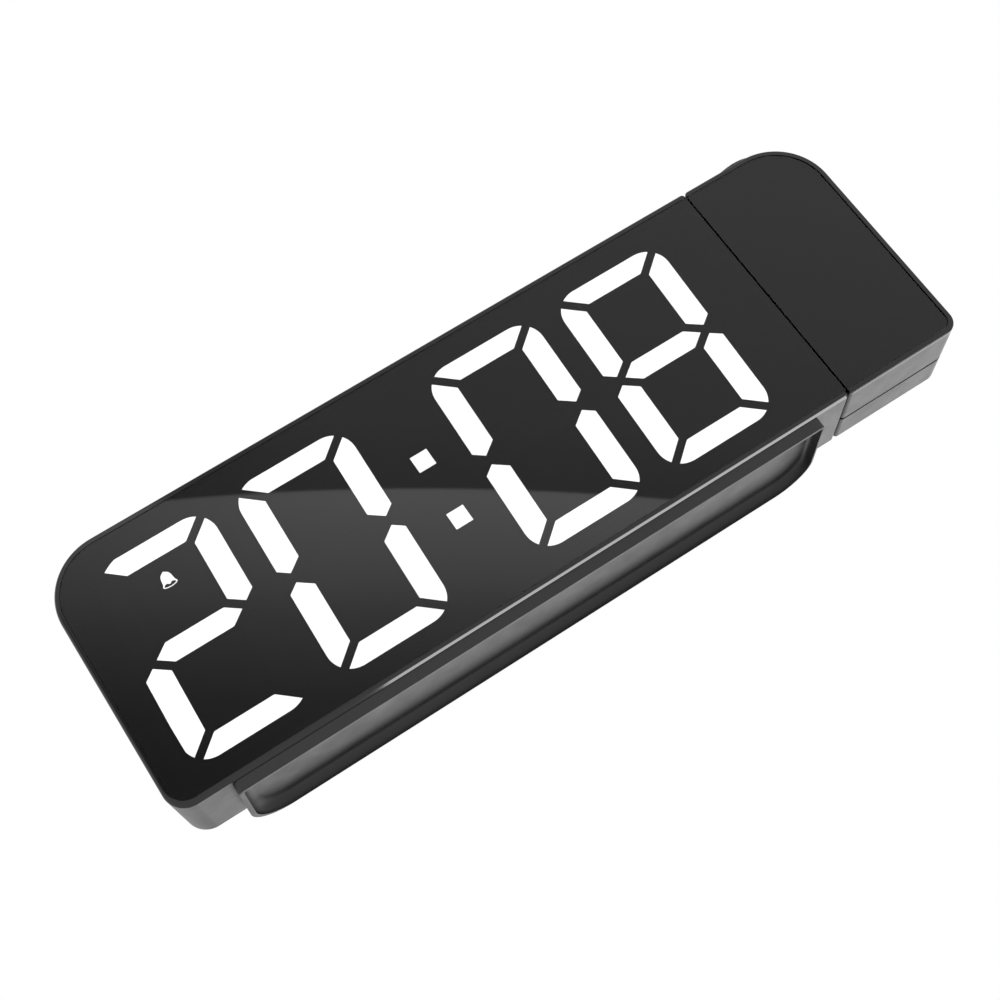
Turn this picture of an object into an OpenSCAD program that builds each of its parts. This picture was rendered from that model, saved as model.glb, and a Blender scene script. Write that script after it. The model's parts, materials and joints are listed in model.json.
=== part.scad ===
// Slim desk alarm clock: a mirror-faced LED display on a low foot, with a ceiling
// projector that turns on a hollow shaft at the right-hand end.
// X runs along the clock to the right, Y runs from the front face to the rear, Z is up.
// The origin lies under the middle of the clock, on the surface that the foot stands on.

/* [Body] */
// From the middle of the last digit to the right-hand end of the main body
end_margin = 26.6; // [24:0.2:32]
// Height of the face below the digits
margin_low = 6.2; // [6:0.1:9]
// Height of the face above the digits
margin_high = 6.4; // [6:0.1:9]
// Room between the display board and the battery bay
bay_room = 1.1; // [0.6:0.1:3]
// Radius of the two large upper corners
top_r = 13.4; // [11.8:0.2:14]
// Radius of the two small lower corners
bottom_r = 5; // [3:0.2:6]
// Wall thickness of the main housing
wall_t = 2; // [1.6:0.1:2.2]
// Size of the bevel around the rear edge
rear_bevel = 1.1; // [0.8:0.1:1.8]
// Width of the rim around the front panels
rim_w = 1.2; // [0.8:0.1:1.4]

/* [Front panel] */
// Thickness of the smoked front panels
panel_t = 1.5; // [1:0.1:2]
// How far a panel lies behind its rim
panel_sink = 0.1; // [0:0.05:0.3]
// Gap between a panel and its rim
panel_gap = 0.15; // [0.1:0.05:0.3]
// Thickness of the black mask film and of the adhesive frame around it
film_t = 0.2; // [0.1:0.05:0.3]
// Thickness of the shelf that the front panel is stuck to
shelf_t = 0.9; // [0.7:0.1:1]

/* [Digits] */
// Height of a digit
digit_h = 47.4; // [44:0.2:47.8]
// Width of a digit
digit_w = 27.4; // [25:0.2:28]
// Width of the upright segments
upright_w = 5.5; // [4.5:0.1:6]
// Height of the level segments
level_h = 4.7; // [4:0.1:5.4]
// Dark gap between two segments
segment_gap = 1.8; // [1:0.1:2.2]
// Radius of the outer corners of a digit
digit_r = 5.7; // [4.8:0.1:6]
// Slope of the mitres beside the middle segment
middle_slope = 0.75; // [0.6:0.05:0.9]
// Lean of the digits to the right, in degrees
digit_lean = 2; // [0:0.5:4]
// Distance between the two digits of the hours, and of the minutes
digit_pitch = 33.1; // [31:0.1:33.8]
// Distance between the two digits on either side of the colon
colon_pitch = 47.2; // [45:0.1:48]
// From the left-hand end to the middle of the first digit
digit_start = 22.2; // [22:0.1:23]
// Side of a colon square
colon_size = 4.1; // [3:0.1:5]
// Distance between the two colon squares
colon_rise = 14.9; // [12:0.1:18]

/* [Foot] */
// Height of the foot's rim below the body
foot_h = 2.4; // [2.2:0.1:4]
// From the left-hand end of the main body to the foot
foot_start = 12.4; // [10:0.2:16]
// From the foot to the right-hand end of the main body
foot_end = 7.8; // [4:0.2:16]
// From the front face back to the foot
foot_front = 1.8; // [1.8:0.1:2.4]
// How far the foot reaches behind the body
foot_tail = 5.4; // [4:0.1:9]
// Thickness of the foot's walls
foot_wall = 1.5; // [1.2:0.1:1.6]
// Depth of the cavity under the foot
foot_depth = 2.8; // [2.2:0.1:3.4]
// Thickness of the foot above its cavity
foot_roof = 1.8; // [1.2:0.1:2]
// Radius of the foot's rear corners
foot_r = 9; // [5:0.2:9]

/* [Projector] */
// Length of the projector head
head_len = 29.5; // [28.5:0.1:31]
// Gap between the head and the body
seam_gap = 0.3; // [0.2:0.05:0.4]
// Wall thickness of the head's shells
head_wall = 1.6; // [1.4:0.1:1.8]
// From the front face back to the joint between the head's two shells
shell_split = 13; // [13:0.1:15]
// Outer diameter of the hollow shaft
shaft_d = 10; // [9:0.1:10.4]
// Bore of the hollow shaft
shaft_bore = 6.4; // [5:0.1:7]
// Radial clearance of the shaft in its bush
shaft_fit = 0.06; // [0.03:0.01:0.1]
// Outer diameter of the focus ring
ring_d = 16; // [14:0.2:17]
// Height of the focus ring above the head
ring_rise = 2.3; // [2:0.1:4]
// Clear diameter of the objective lens
lens_d = 8.6; // [7:0.1:9]
// Clearance around turning and sliding pieces of the projector
slide_fit = 0.3; // [0.2:0.05:0.4]

/* [Controls] */
// Diameter of a rear button
button_d = 6; // [5:0.1:6.6]
// How far the rear buttons stand out
button_rise = 0.8; // [0.5:0.1:1.5]
// Distance between rear buttons
button_pitch = 10; // [9.4:0.1:10.2]
// Travel of a button
button_travel = 0.6; // [0.3:0.05:0.6]
// Gap around a button
button_gap = 0.25; // [0.15:0.05:0.3]
// Length of the snooze bar
snooze_len = 56; // [40:1:64]
// Width of the snooze bar
snooze_w = 7.4; // [6:0.2:8]

/* [Battery] */
// Diameter of a cell
cell_d = 10.5; // [10:0.1:10.6]
// Length of a cell with its nub
cell_len = 44.5; // [43:0.1:45]
// Thickness of the battery door
door_t = 1.1; // [0.9:0.1:1.2]
// Length of a contact spring with a cell in place
spring_len = 5.2; // [4:0.1:6]

/* [Hidden] */
$fn = 64;
EPS = 0.01;
CORNER_STEPS = 12;

// ---- layers, as depths behind the front face ----
panel_back = panel_sink + panel_t;
film_back = panel_back + film_t;
shelf_back = film_back + shelf_t;
box_t = 4.5;
pcb_t = 1.2;
box_back = film_back + box_t;
display_back = box_back + pcb_t;
bay_floor = 1;
cell_room = 0.5;
bay_front = display_back + bay_room + bay_floor;
rear_inner = bay_front + cell_room + cell_d;
body_t = rear_inner + wall_t;

// ---- frame of the whole clock ----
body_len = digit_start + 2 * digit_pitch + colon_pitch + end_margin;
body_h = margin_low + digit_h + margin_high;
clock_len = body_len + seam_gap + head_len;
clock_depth = body_t + foot_tail;
left_x = -clock_len / 2;
right_x = clock_len / 2;
front_y = -clock_depth / 2;
body_z = foot_h;
top_z = body_z + body_h;
head_left = right_x - head_len;
body_right = head_left - seam_gap;
seam_rim = 0.6;
seam_r = 0.8;
axis_depth = body_t / 2;
axis_z = body_z + body_h / 2;

// ---- digits ----
half_h = digit_h / 2;
half_w = digit_w / 2;
digit_z = body_z + margin_low + half_h;
hours_1 = left_x + digit_start;
hours_2 = hours_1 + digit_pitch;
minutes_1 = hours_2 + colon_pitch;
minutes_2 = minutes_1 + digit_pitch;
DIGIT_X = [hours_1, hours_2, minutes_1, minutes_2];
colon_x = (hours_2 + minutes_1) / 2 + 0.5;
// The time 20:08, as the lit segments of each digit, in the order a b c d e f g
LIT = [[1, 1, 0, 1, 1, 0, 1], [1, 1, 1, 1, 1, 1, 0], [1, 1, 1, 1, 1, 1, 0], [1, 1, 1, 1, 1, 1, 1]];
corner_slope = level_h / upright_w;
mitre_x = half_w - upright_w + level_h / 2 / middle_slope;
corner_drop = segment_gap / 2 * sqrt(1 + corner_slope * corner_slope);
middle_drop = segment_gap / 2 * sqrt(1 + middle_slope * middle_slope);
ARC_STEPS = 6;
segment_depth = 1.2;
bell_w = 3.4;
bell_h = 3.3;
bell_x = hours_1 + 0.3;
bell_z = digit_z + half_h - level_h - 5.1;

// ---- light box and display board ----
box_margin = 0.8;
box_play = 0.3;
box_left = hours_1 - half_w - lean_of(-half_h) - 1.6;
box_right = minutes_2 + half_w + lean_of(half_h) + 1.6;
box_low = digit_z - half_h - box_margin;
box_high = digit_z + half_h + box_margin;
box_r = top_r - (top_r - 8) / 2;
PCB_INSET = 0.3;
// Middles of the four screws that hold the light box and the display board
screw_lift = half_h / 2 - level_h / 4;
DISPLAY_SCREWS = [
    [hours_1, digit_z - screw_lift],
    [hours_2, digit_z + screw_lift],
    [minutes_2, digit_z - screw_lift],
    [minutes_2, digit_z + screw_lift]
];
screw_d = 2;
screw_play = 0.06;
head_d = 3.8;
head_t = 1.3;
boss_d = 5;
screw_sink = 1.4;
screw_len = 8;

// ---- foot ----
foot_x0 = left_x + foot_start;
foot_x1 = body_right - foot_end;
foot_len = foot_x1 - foot_x0;
foot_y0 = front_y + foot_front;
foot_y1 = front_y + clock_depth;
foot_step = 0.7;
foot_play = 0.1;
foot_top = box_low - 0.2;
foot_front_r = 1;
cavity_bevel = 1.6;
cavity_bevel_h = 0.9;
hook_w = 6;
hook_reach = 1.1;

// ---- control board ----
board_x0 = left_x + 6.5;
board_x1 = left_x + 51;
board_z0 = body_z + 23;
board_z1 = body_z + 49;
board_front = 12.4;
board_back = board_front + pcb_t;
BOARD_SCREWS = [[board_x0 + 3, board_z0 + 3.4], [board_x1 - 3, board_z0 + 3.4], [left_x + 29, board_z1 - 2.4]];
button_z = board_z1 - 6.2;
BUTTON_X = [for (i = [-1.5:1:1.5]) left_x + 29 + i * button_pitch];
switch_w = 6;
switch_t = 3.5;
plunger_d = 3.4;
plunger_len = rear_inner - 2.6 - board_back - switch_t;
button_flange = 7.4;
button_flange_t = 0.8;
flange_play = 0.2;
usb_x = left_x + 16.4;
usb_z = board_z0 + 7;
usb_w = 9;
usb_h = 3.3;
usb_wall = 0.35;
usb_sink = 0.9;
buzzer_x = left_x + 35;
buzzer_z = board_z0 + 8.6;
buzzer_d = 11.6;
buzzer_t = 5.4;
sound_hole_d = 1.4;

// ---- snooze bar ----
snooze_x = colon_x;
snooze_depth = 12.6;
snooze_gap = 0.3;
snooze_travel = 0.8;
snooze_flange = 0.9;
snooze_switch_top = box_high - 1.8;

// ---- battery bay ----
bay_wall = 1.2;
contact_t = 0.4;
bay_len = cell_len + spring_len + 2 * contact_t;
bay_pitch = cell_d + 0.7;
bay_h = 3 * bay_pitch;
bay_x0 = left_x + 64;
bay_x1 = bay_x0 + bay_len;
bay_z0 = body_z + 8.8;
bay_z1 = bay_z0 + bay_h;
door_lip = 2.4;
door_gap = 0.25;
door_sink = 0.05;
door_seat = body_t - door_t - door_sink;
cell_depth = rear_inner - cell_d / 2 - 0.3;
nub_d = 3.8;
nub_len = 1;

// ---- shaft between the body and the head ----
bush_d = shaft_d + 2.6;
bush_flange_d = shaft_d + 5;
bush_flange_t = 1;
bush_play = 0.03;
washer_t = 0.8;
clip_t = 0.8;
groove_d = shaft_d - 1.6;
spring_rise = 0.8;
spring_sheet = 0.3;
stack_gap = 0.1;
end_inner = body_right - wall_t;
bush_back = end_inner - bush_flange_t;
spring_back = bush_back - stack_gap - spring_rise;
washer_back = spring_back - washer_t;
clip_back = washer_back - stack_gap - clip_t;
shaft_end = clip_back - 1;
hub_flange_d = 15.4;
hub_flange_t = 1.6;
hub_inner = head_left + head_wall;
lead_d = 2;

// ---- projector head ----
head_inner_r = right_x - head_wall;
lens_x = (head_left + right_x) / 2 + 1.2;
ring_seat = top_z - 3.2;
collar_low = ring_seat - 1.2;
ring_low = collar_low - slide_fit - 1;
knurl_count = 36;
lens_depth = 12;
ring_skirt_d = ring_d - 3;
lens_bore = lens_d + 2.4;
barrel_wall = 1;
barrel_d = lens_bore + 2 * slide_fit + 2 * barrel_wall;
barrel_low = axis_z + 8;
cell_sleeve_top = top_z - 3.4;
cell_sleeve_len = 9;
led_board_z = body_z + head_wall + 7;
led_board_t = 1.2;
condenser_z = led_board_z + 6.6;
lcd_z = condenser_z + 6.2;
lcd_t = 1.4;
lcd_w = 15;
tray_t = 1.6;
clamp_w = 8;
head_front_inner = film_back + 1.2;
head_rear_inner = body_t - head_wall;
// Middles of the two screws that join the head's shells
head_screw_low = body_z + head_wall + 2.6;
HEAD_SCREWS = [[hub_inner + 3, head_screw_low], [head_inner_r - 3.4, head_screw_low + 1]];

// ---- helpers ----

// Sideways shift of the leaning digits at height v above their middle
function lean_of(v) = v * tan(digit_lean);

// A point of a digit, leaned over
function lean(p) = [p[0] + lean_of(p[1]), p[1]];

// A point of a digit, mirrored left to right or top to bottom
function flip(p, sx, sz) = [sx * p[0], sz * p[1]];

// Position of a depth behind the front face
function at_depth(d) = front_y + d;

// A solid whose outline is drawn in X and Z, from depth d0 to depth d1
module slab(d0, d1) {
    translate([0, at_depth(d1), 0])
        rotate([90, 0, 0])
            linear_extrude(d1 - d0) children();
}

// A round bar along Y, from depth d0 to depth d1
module rod(x, z, dia, d0, d1) {
    slab(d0, d1) translate([x, z]) circle(d = dia);
}

// A box between two corners given as x, depth and z
module block(x0, x1, d0, d1, z0, z1) {
    translate([x0, at_depth(d0), z0]) cube([x1 - x0, d1 - d0, z1 - z0]);
}

// A round bar along X
module bar_x(x0, x1, dia) {
    translate([x0, at_depth(axis_depth), axis_z]) rotate([0, 90, 0]) cylinder(d = dia, h = x1 - x0);
}

// Points of a rounded corner of radius r around c, over a quarter turn from angle a0
function corner_points(c, r, a0) =
    [for (i = [0:CORNER_STEPS])
        let (a = a0 + 90 * i / CORNER_STEPS)
        [c[0] + r * cos(a), c[1] + r * sin(a)]];

// A rectangle with its own radius at each corner: top left, top right, bottom right, bottom left
module round_plate(x0, x1, z0, z1, radii) {
    polygon(concat(
        corner_points([x1 - radii[1], z1 - radii[1]], radii[1], 0),
        corner_points([x0 + radii[0], z1 - radii[0]], radii[0], 90),
        corner_points([x0 + radii[3], z0 + radii[3]], radii[3], 180),
        corner_points([x1 - radii[2], z0 + radii[2]], radii[2], 270)
    ));
}

// Outline of the main body, moved inwards, with a separate inset at the seam
module body_outline(inset = 0, seam_inset = 0) {
    round_plate(left_x + inset, body_right - seam_inset, body_z + inset, top_z - inset,
        [top_r - inset, seam_r, seam_r, max(bottom_r - inset, 0.4)]);
}

// Outline of the projector head, moved inwards, with a separate inset at the seam
module head_outline(inset = 0, seam_inset = 0) {
    round_plate(head_left + seam_inset, right_x - inset, body_z + inset, top_z - inset,
        [seam_r, top_r - inset, max(bottom_r - inset, 0.4), seam_r]);
}

// Outline of the light box
module box_outline(inset = 0) {
    round_plate(box_left + inset, box_right - inset, box_low + inset, box_high - inset,
        [box_r, 1, 1, 2]);
}

// ---- segment outlines ----

// Angle at which a mitre leaves the rounded corner of a digit
function corner_angle(side) =
    atan(corner_slope) + asin(
        (((digit_r - level_h) + corner_slope * (upright_w - digit_r)) / sqrt(1 + corner_slope * corner_slope)
        + side * segment_gap / 2) / digit_r);

// Points of the rounded corner between two angles
function corner_arc(a0, a1) =
    [for (i = [0:ARC_STEPS])
        let (a = a0 + (a1 - a0) * i / ARC_STEPS)
        [half_w - digit_r + digit_r * cos(a), half_h - digit_r + digit_r * sin(a)]];

// Right half of the top segment
top_x = half_w - upright_w - corner_drop / corner_slope;
TOP_RIGHT = concat([[top_x, half_h - level_h]], corner_arc(corner_angle(1), 90));
TOP = concat(TOP_RIGHT, [for (i = [len(TOP_RIGHT) - 1:-1:0]) flip(TOP_RIGHT[i], -1, 1)]);

// Upper right segment
UPPER = concat(
    [
        [half_w - upright_w, level_h / 2 + middle_drop],
        [mitre_x, middle_drop],
        [half_w, middle_slope * (half_w - mitre_x) + middle_drop]
    ],
    corner_arc(0, corner_angle(-1)),
    [[half_w - upright_w, half_h - level_h - corner_drop]]
);

// Middle segment
mid_x = half_w - upright_w - middle_drop / middle_slope;
mid_tip = mitre_x - middle_drop / middle_slope;
MIDDLE = [
    [mid_x, level_h / 2], [-mid_x, level_h / 2], [-mid_tip, 0],
    [-mid_x, -level_h / 2], [mid_x, -level_h / 2], [mid_tip, 0]
];

// The seven segments in the order a b c d e f g
SEGMENTS = [
    TOP,
    UPPER,
    [for (p = UPPER) flip(p, 1, -1)],
    [for (p = TOP) flip(p, 1, -1)],
    [for (p = UPPER) flip(p, -1, -1)],
    [for (p = UPPER) flip(p, -1, 1)],
    MIDDLE
];
// Middles of the seven segments, where their light sources sit
side_mid_x = half_w - upright_w / 2;
side_mid_z = half_h / 2;
LED_SPOTS = [
    [0, half_h - level_h / 2], [side_mid_x, side_mid_z], [side_mid_x, -side_mid_z],
    [0, level_h / 2 - half_h], [-side_mid_x, -side_mid_z], [-side_mid_x, side_mid_z], [0, 0]
];

// One segment outline in its place
module segment(digit, s) {
    translate([DIGIT_X[digit], digit_z]) polygon([for (p = SEGMENTS[s]) lean(p)]);
}

// All segments whose state is lit (1) or unlit (0)
module segments(state) {
    for (digit = [0:3])
        for (s = [0:6])
            if (LIT[digit][s] == state) segment(digit, s);
}

// The two colon squares
module colon_outline() {
    for (side = [-1, 1])
        translate([colon_x + lean_of(side * colon_rise / 2), digit_z + side * colon_rise / 2])
            square(colon_size, center = true);
}

// A small bell with a rounded crown and a flared lip
module bell_outline() {
    crown_r = bell_w * 0.36;
    crown_z = bell_h - crown_r;
    lip_h = bell_h * 0.16;
    right = concat(
        [[bell_w / 2 - 0.5, 0], [bell_w / 2, lip_h - 0.1], [crown_r + 0.08, lip_h + 0.5]],
        [for (a = [0:15:75]) [crown_r * cos(a), crown_z + crown_r * sin(a)]],
        [[0.3, bell_h + 0.1]]
    );
    left = [for (i = [len(right) - 1:-1:0]) flip(right[i], -1, 1)];
    translate([bell_x, bell_z - bell_h / 2]) polygon(concat(right, left));
}

// Every window of the display
module window_outlines() {
    segments(0);
    segments(1);
    colon_outline();
    bell_outline();
}

// ---- main body ----

// Holes that the four display screws pass through
module screw_holes(dia, d0, d1) {
    for (p = DISPLAY_SCREWS) rod(p[0], p[1], dia, d0, d1);
}

module main_housing() {
    color([0.09, 0.09, 0.095]) {
        difference() {
            union() {
                slab(0, body_t - rear_bevel) body_outline();
                hull() {
                    slab(body_t - rear_bevel - EPS, body_t - rear_bevel) body_outline();
                    slab(body_t - EPS, body_t) body_outline(rear_bevel);
                }
            }
            slab(-1, film_back) body_outline(rim_w, seam_rim);
            slab(film_back - EPS, shelf_back + EPS)
                round_plate(box_left - box_play, box_right + box_play, box_low - box_play,
                    box_high + box_play, [box_r, 1, 1, 2]);
            slab(shelf_back, rear_inner) body_outline(wall_t, wall_t);
            foot_opening();
            snooze_opening();
            bar_x(end_inner - 1, body_right + 1, bush_d);
            for (x = BUTTON_X)
                rod(x, button_z, button_d + 2 * button_gap, rear_inner - 1, body_t + 1);
            usb_opening();
            sound_holes();
            bay_space();
        }
        bay_walls();
        display_bosses();
        board_bosses();
    }
}

// Space in the floor and in the rear wall that the foot's upper part fills
module foot_opening() {
    block(foot_x0 + foot_step - foot_play, foot_x1 - foot_step + foot_play,
        shelf_back, body_t + 1, body_z - 1, foot_top + foot_play);
}

// Opening in the top wall for the snooze bar
module snooze_opening() {
    block(snooze_x - snooze_len / 2 - snooze_gap, snooze_x + snooze_len / 2 + snooze_gap,
        snooze_depth - snooze_w / 2 - snooze_gap, snooze_depth + snooze_w / 2 + snooze_gap,
        top_z - wall_t - 1, top_z + 1);
}

// Opening in the rear wall for the power plug, with a sunken field around it
module usb_opening() {
    slab(rear_inner - 1, body_t + 1)
        round_plate(usb_x - usb_w / 2 - 0.3, usb_x + usb_w / 2 + 0.3, usb_z - usb_h / 2 - 0.3,
            usb_z + usb_h / 2 + 0.3, [1.6, 1.6, 1.6, 1.6]);
    slab(body_t - usb_sink, body_t + 1)
        round_plate(usb_x - usb_w / 2 - 1.6, usb_x + usb_w / 2 + 1.6, usb_z - usb_h / 2 - 1.8,
            usb_z + usb_h / 2 + 1.8, [2.6, 2.6, 2.6, 2.6]);
}

// Holes in the rear wall in front of the buzzer
module sound_holes() {
    rod(buzzer_x, buzzer_z, sound_hole_d, rear_inner - 1, body_t + 1);
    for (a = [0:60:300])
        rod(buzzer_x + 3.2 * cos(a), buzzer_z + 3.2 * sin(a), sound_hole_d, rear_inner - 1, body_t + 1);
}

// Space for the cells and their door in the rear wall
module bay_space() {
    block(bay_x0, bay_x1, rear_inner - 1, body_t + 1, bay_z0, bay_z1);
    slab(door_seat, body_t + 1) door_outline(door_gap);
}

// Outline of the battery door, made larger by grow
module door_outline(grow = 0) {
    round_plate(bay_x0 - door_lip - grow, bay_x1 + door_lip + grow, bay_z0 - door_lip - grow,
        bay_z1 + door_lip + grow, [2, 2, 2, 2]);
}

// Walls of the battery bay, which stand on the inside of the rear wall
module bay_walls() {
    difference() {
        block(bay_x0 - bay_wall, bay_x1 + bay_wall, bay_front - bay_floor, rear_inner + EPS,
            bay_z0 - bay_wall, bay_z1 + bay_wall);
        block(bay_x0, bay_x1, bay_front, rear_inner + 1, bay_z0, bay_z1);
    }
    for (i = [1, 2])
        block(bay_x0 + 8, bay_x1 - 8, bay_front - EPS, bay_front + 2,
            bay_z0 + i * bay_pitch - 0.25, bay_z0 + i * bay_pitch + 0.25);
}

// Bosses that carry the display board
module display_bosses() {
    for (p = DISPLAY_SCREWS)
        difference() {
            rod(p[0], p[1], boss_d, display_back, rear_inner + EPS);
            rod(p[0], p[1], screw_d + 2 * screw_play, display_back - 1, display_back + screw_len);
        }
}

// Bosses that carry the control board
module board_bosses() {
    for (p = BOARD_SCREWS)
        difference() {
            rod(p[0], p[1], 4.2, board_back, rear_inner + EPS);
            rod(p[0], p[1], screw_d + 2 * screw_play, board_back - 1, board_back + 5);
        }
}

// ---- foot ----

// Plan of the foot, moved inwards, with a separate inset at the tail
module foot_plan(inset = 0, tail_inset = 0) {
    round_plate(foot_x0 + inset, foot_x1 - inset, foot_y0 + inset, foot_y1 - tail_inset,
        [foot_r - inset, foot_r - inset, max(foot_front_r - inset, 0.3), max(foot_front_r - inset, 0.3)]);
}

module foot() {
    color([0.1, 0.1, 0.105])
        difference() {
            union() {
                linear_extrude(foot_h) foot_plan();
                translate([0, 0, foot_h - EPS])
                    linear_extrude(foot_top - foot_h + EPS)
                        intersection() {
                            foot_plan(foot_step, foot_step);
                            translate([foot_x0, at_depth(shelf_back + foot_play)])
                                square([foot_len, clock_depth]);
                        }
                foot_hooks();
            }
            foot_cavity();
            foot_pocket();
        }
}

// Pocket in the top of the foot, inside the housing, which keeps its walls thin
module foot_pocket() {
    block(foot_x0 + foot_step + foot_wall, foot_x1 - foot_step - foot_wall,
        shelf_back + foot_play + foot_wall, rear_inner, foot_depth + foot_roof, foot_top + 1);
}

// Cavity of the foot: upright walls at the rim, sloping inwards to a flat ceiling
module foot_cavity() {
    slope = cavity_bevel / cavity_bevel_h;
    top_inset = foot_wall + cavity_bevel;
    low_inset = top_inset - slope * (foot_depth + 1);
    intersection() {
        translate([0, 0, -1]) linear_extrude(foot_depth + 2) foot_plan(foot_wall, foot_wall);
        translate([foot_x0, 0, 0])
            rotate([90, 0, 90])
                linear_extrude(foot_len)
                    polygon([
                        [foot_y0 + low_inset, -1], [foot_y1 - low_inset, -1],
                        [foot_y1 - top_inset, foot_depth], [foot_y0 + top_inset, foot_depth]
                    ]);
        translate([0, foot_y1, 0])
            rotate([90, 0, 0])
                linear_extrude(foot_y1 - foot_y0)
                    polygon([
                        [foot_x0 + low_inset, -1], [foot_x1 - low_inset, -1],
                        [foot_x1 - top_inset, foot_depth], [foot_x0 + top_inset, foot_depth]
                    ]);
    }
}

// Snap hooks at both ends of the foot, which rest on the housing's floor
module foot_hooks() {
    hook_z = body_z + wall_t;
    for (d = [8, 16])
        for (side = [0, 1])
            translate([side * (foot_x0 + foot_x1), at_depth(d) + hook_w / 2, 0])
                mirror([side, 0, 0])
                    rotate([90, 0, 0])
                        linear_extrude(hook_w)
                            polygon([
                                [foot_x0 + foot_step + EPS, hook_z],
                                [foot_x0 + foot_step - hook_reach, hook_z],
                                [foot_x0 + foot_step - hook_reach, hook_z + 0.5],
                                [foot_x0 + foot_step + EPS, foot_top - 0.4]
                            ]);
}

// ---- display ----

module front_panel() {
    color([0.05, 0.05, 0.055])
        slab(panel_sink, panel_back) body_outline(rim_w + panel_gap, seam_rim + panel_gap);
}

// Adhesive frame between the panel and the shelf of the housing
module panel_tape() {
    color([0.03, 0.03, 0.03])
        slab(panel_back, film_back)
            difference() {
                body_outline(rim_w + panel_gap + 0.4, seam_rim + panel_gap + 0.4);
                box_outline();
            }
}

// Black film behind the panel, with a clear window for every segment
module mask_film() {
    color([0.02, 0.02, 0.02])
        slab(panel_back, film_back)
            difference() {
                box_outline(0.3);
                window_outlines();
            }
}

// White block with a light well for every segment
module light_box() {
    color([0.9, 0.9, 0.88])
        difference() {
            slab(film_back, box_back) box_outline();
            slab(film_back - 1, box_back + 1) window_outlines();
            screw_holes(screw_d + 0.5, film_back - 1, box_back + 1);
            screw_holes(head_d + 0.5, film_back - 1, film_back + screw_sink + head_t);
        }
}

// Frosted fillers at the front of the light wells
module lit_segments() {
    color([1, 1, 1]) slab(film_back, film_back + segment_depth) segments(1);
}

module unlit_segments() {
    color([0.16, 0.16, 0.17]) slab(film_back, film_back + segment_depth) segments(0);
}

module colon_dots() {
    color([1, 1, 1]) slab(film_back, film_back + segment_depth) colon_outline();
}

module bell_icon() {
    color([1, 1, 1]) slab(film_back, film_back + segment_depth) bell_outline();
}

module display_board() {
    color([0.06, 0.22, 0.12])
        difference() {
            slab(box_back, display_back) box_outline(PCB_INSET);
            screw_holes(screw_d + 0.4, box_back - 1, display_back + 1);
        }
}

// One light source, standing on the display board in its well
module led_chip(x, z, led_w = 2.2) {
    led_t = 0.8;
    block(x - led_w / 2, x + led_w / 2, box_back - led_t, box_back, z - led_w / 2, z + led_w / 2);
}

module segment_leds() {
    color([0.95, 0.9, 0.6]) {
        for (x = DIGIT_X)
            for (p = LED_SPOTS) led_chip(x + lean(p)[0], digit_z + p[1]);
        for (side = [-1, 1])
            led_chip(colon_x + lean_of(side * colon_rise / 2), digit_z + side * colon_rise / 2);
        led_chip(bell_x, bell_z, 1.4);
    }
}

// A pan-head screw along Y whose head starts at depth d0
module screw_y(x, z, d0, shank) {
    difference() {
        rod(x, z, head_d, d0, d0 + head_t);
        block(x - 1.1, x + 1.1, d0 - 1, d0 + 0.7, z - 0.25, z + 0.25);
        block(x - 0.25, x + 0.25, d0 - 1, d0 + 0.7, z - 1.1, z + 1.1);
    }
    rod(x, z, screw_d, d0 + head_t - EPS, d0 + head_t + shank);
}

module display_screws() {
    color([0.6, 0.6, 0.62])
        for (p = DISPLAY_SCREWS) screw_y(p[0], p[1], film_back + screw_sink, screw_len + 1.6);
}

// ---- control board ----

module control_board() {
    color([0.06, 0.22, 0.12])
        difference() {
            block(board_x0, board_x1, board_front, board_back, board_z0, board_z1);
            for (p = BOARD_SCREWS) rod(p[0], p[1], screw_d + 0.4, board_front - 1, board_back + 1);
        }
}

module controller_chip() {
    chip_w = 7;
    chip_t = 1.6;
    color([0.08, 0.08, 0.09])
        block(left_x + 26, left_x + 26 + chip_w, board_front - chip_t, board_front,
            board_z0 + 9, board_z0 + 9 + chip_w);
}

module clock_crystal() {
    crystal_d = 2;
    color([0.75, 0.75, 0.78])
        translate([left_x + 37, at_depth(board_front - crystal_d / 2), board_z0 + 9])
            cylinder(d = crystal_d, h = 6);
}

// Upright power inlet on the rear of the control board
module usb_inlet() {
    color([0.7, 0.7, 0.72])
        difference() {
            slab(board_back, body_t - usb_sink - 0.2)
                round_plate(usb_x - usb_w / 2, usb_x + usb_w / 2, usb_z - usb_h / 2, usb_z + usb_h / 2,
                    [1.5, 1.5, 1.5, 1.5]);
            difference() {
                slab(board_back + 1.5, body_t)
                    round_plate(usb_x - usb_w / 2 + usb_wall, usb_x + usb_w / 2 - usb_wall,
                        usb_z - usb_h / 2 + usb_wall, usb_z + usb_h / 2 - usb_wall, [1.2, 1.2, 1.2, 1.2]);
                block(usb_x - 3.2, usb_x + 3.2, board_back, body_t - usb_sink - 1.2,
                    usb_z - 0.35, usb_z + 0.35);
            }
        }
}

module buzzer() {
    color([0.07, 0.07, 0.07])
        difference() {
            rod(buzzer_x, buzzer_z, buzzer_d, board_back, board_back + buzzer_t);
            rod(buzzer_x, buzzer_z, 2, board_back + buzzer_t - 1.5, board_back + buzzer_t + 1);
        }
}

// The four push switches behind the rear buttons
module button_switches() {
    color([0.2, 0.2, 0.21])
        for (x = BUTTON_X) {
            block(x - switch_w / 2, x + switch_w / 2, board_back, board_back + switch_t,
                button_z - switch_w / 2, button_z + switch_w / 2);
            rod(x, button_z, plunger_d, board_back + switch_t - EPS, board_back + switch_t + plunger_len);
        }
}

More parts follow.
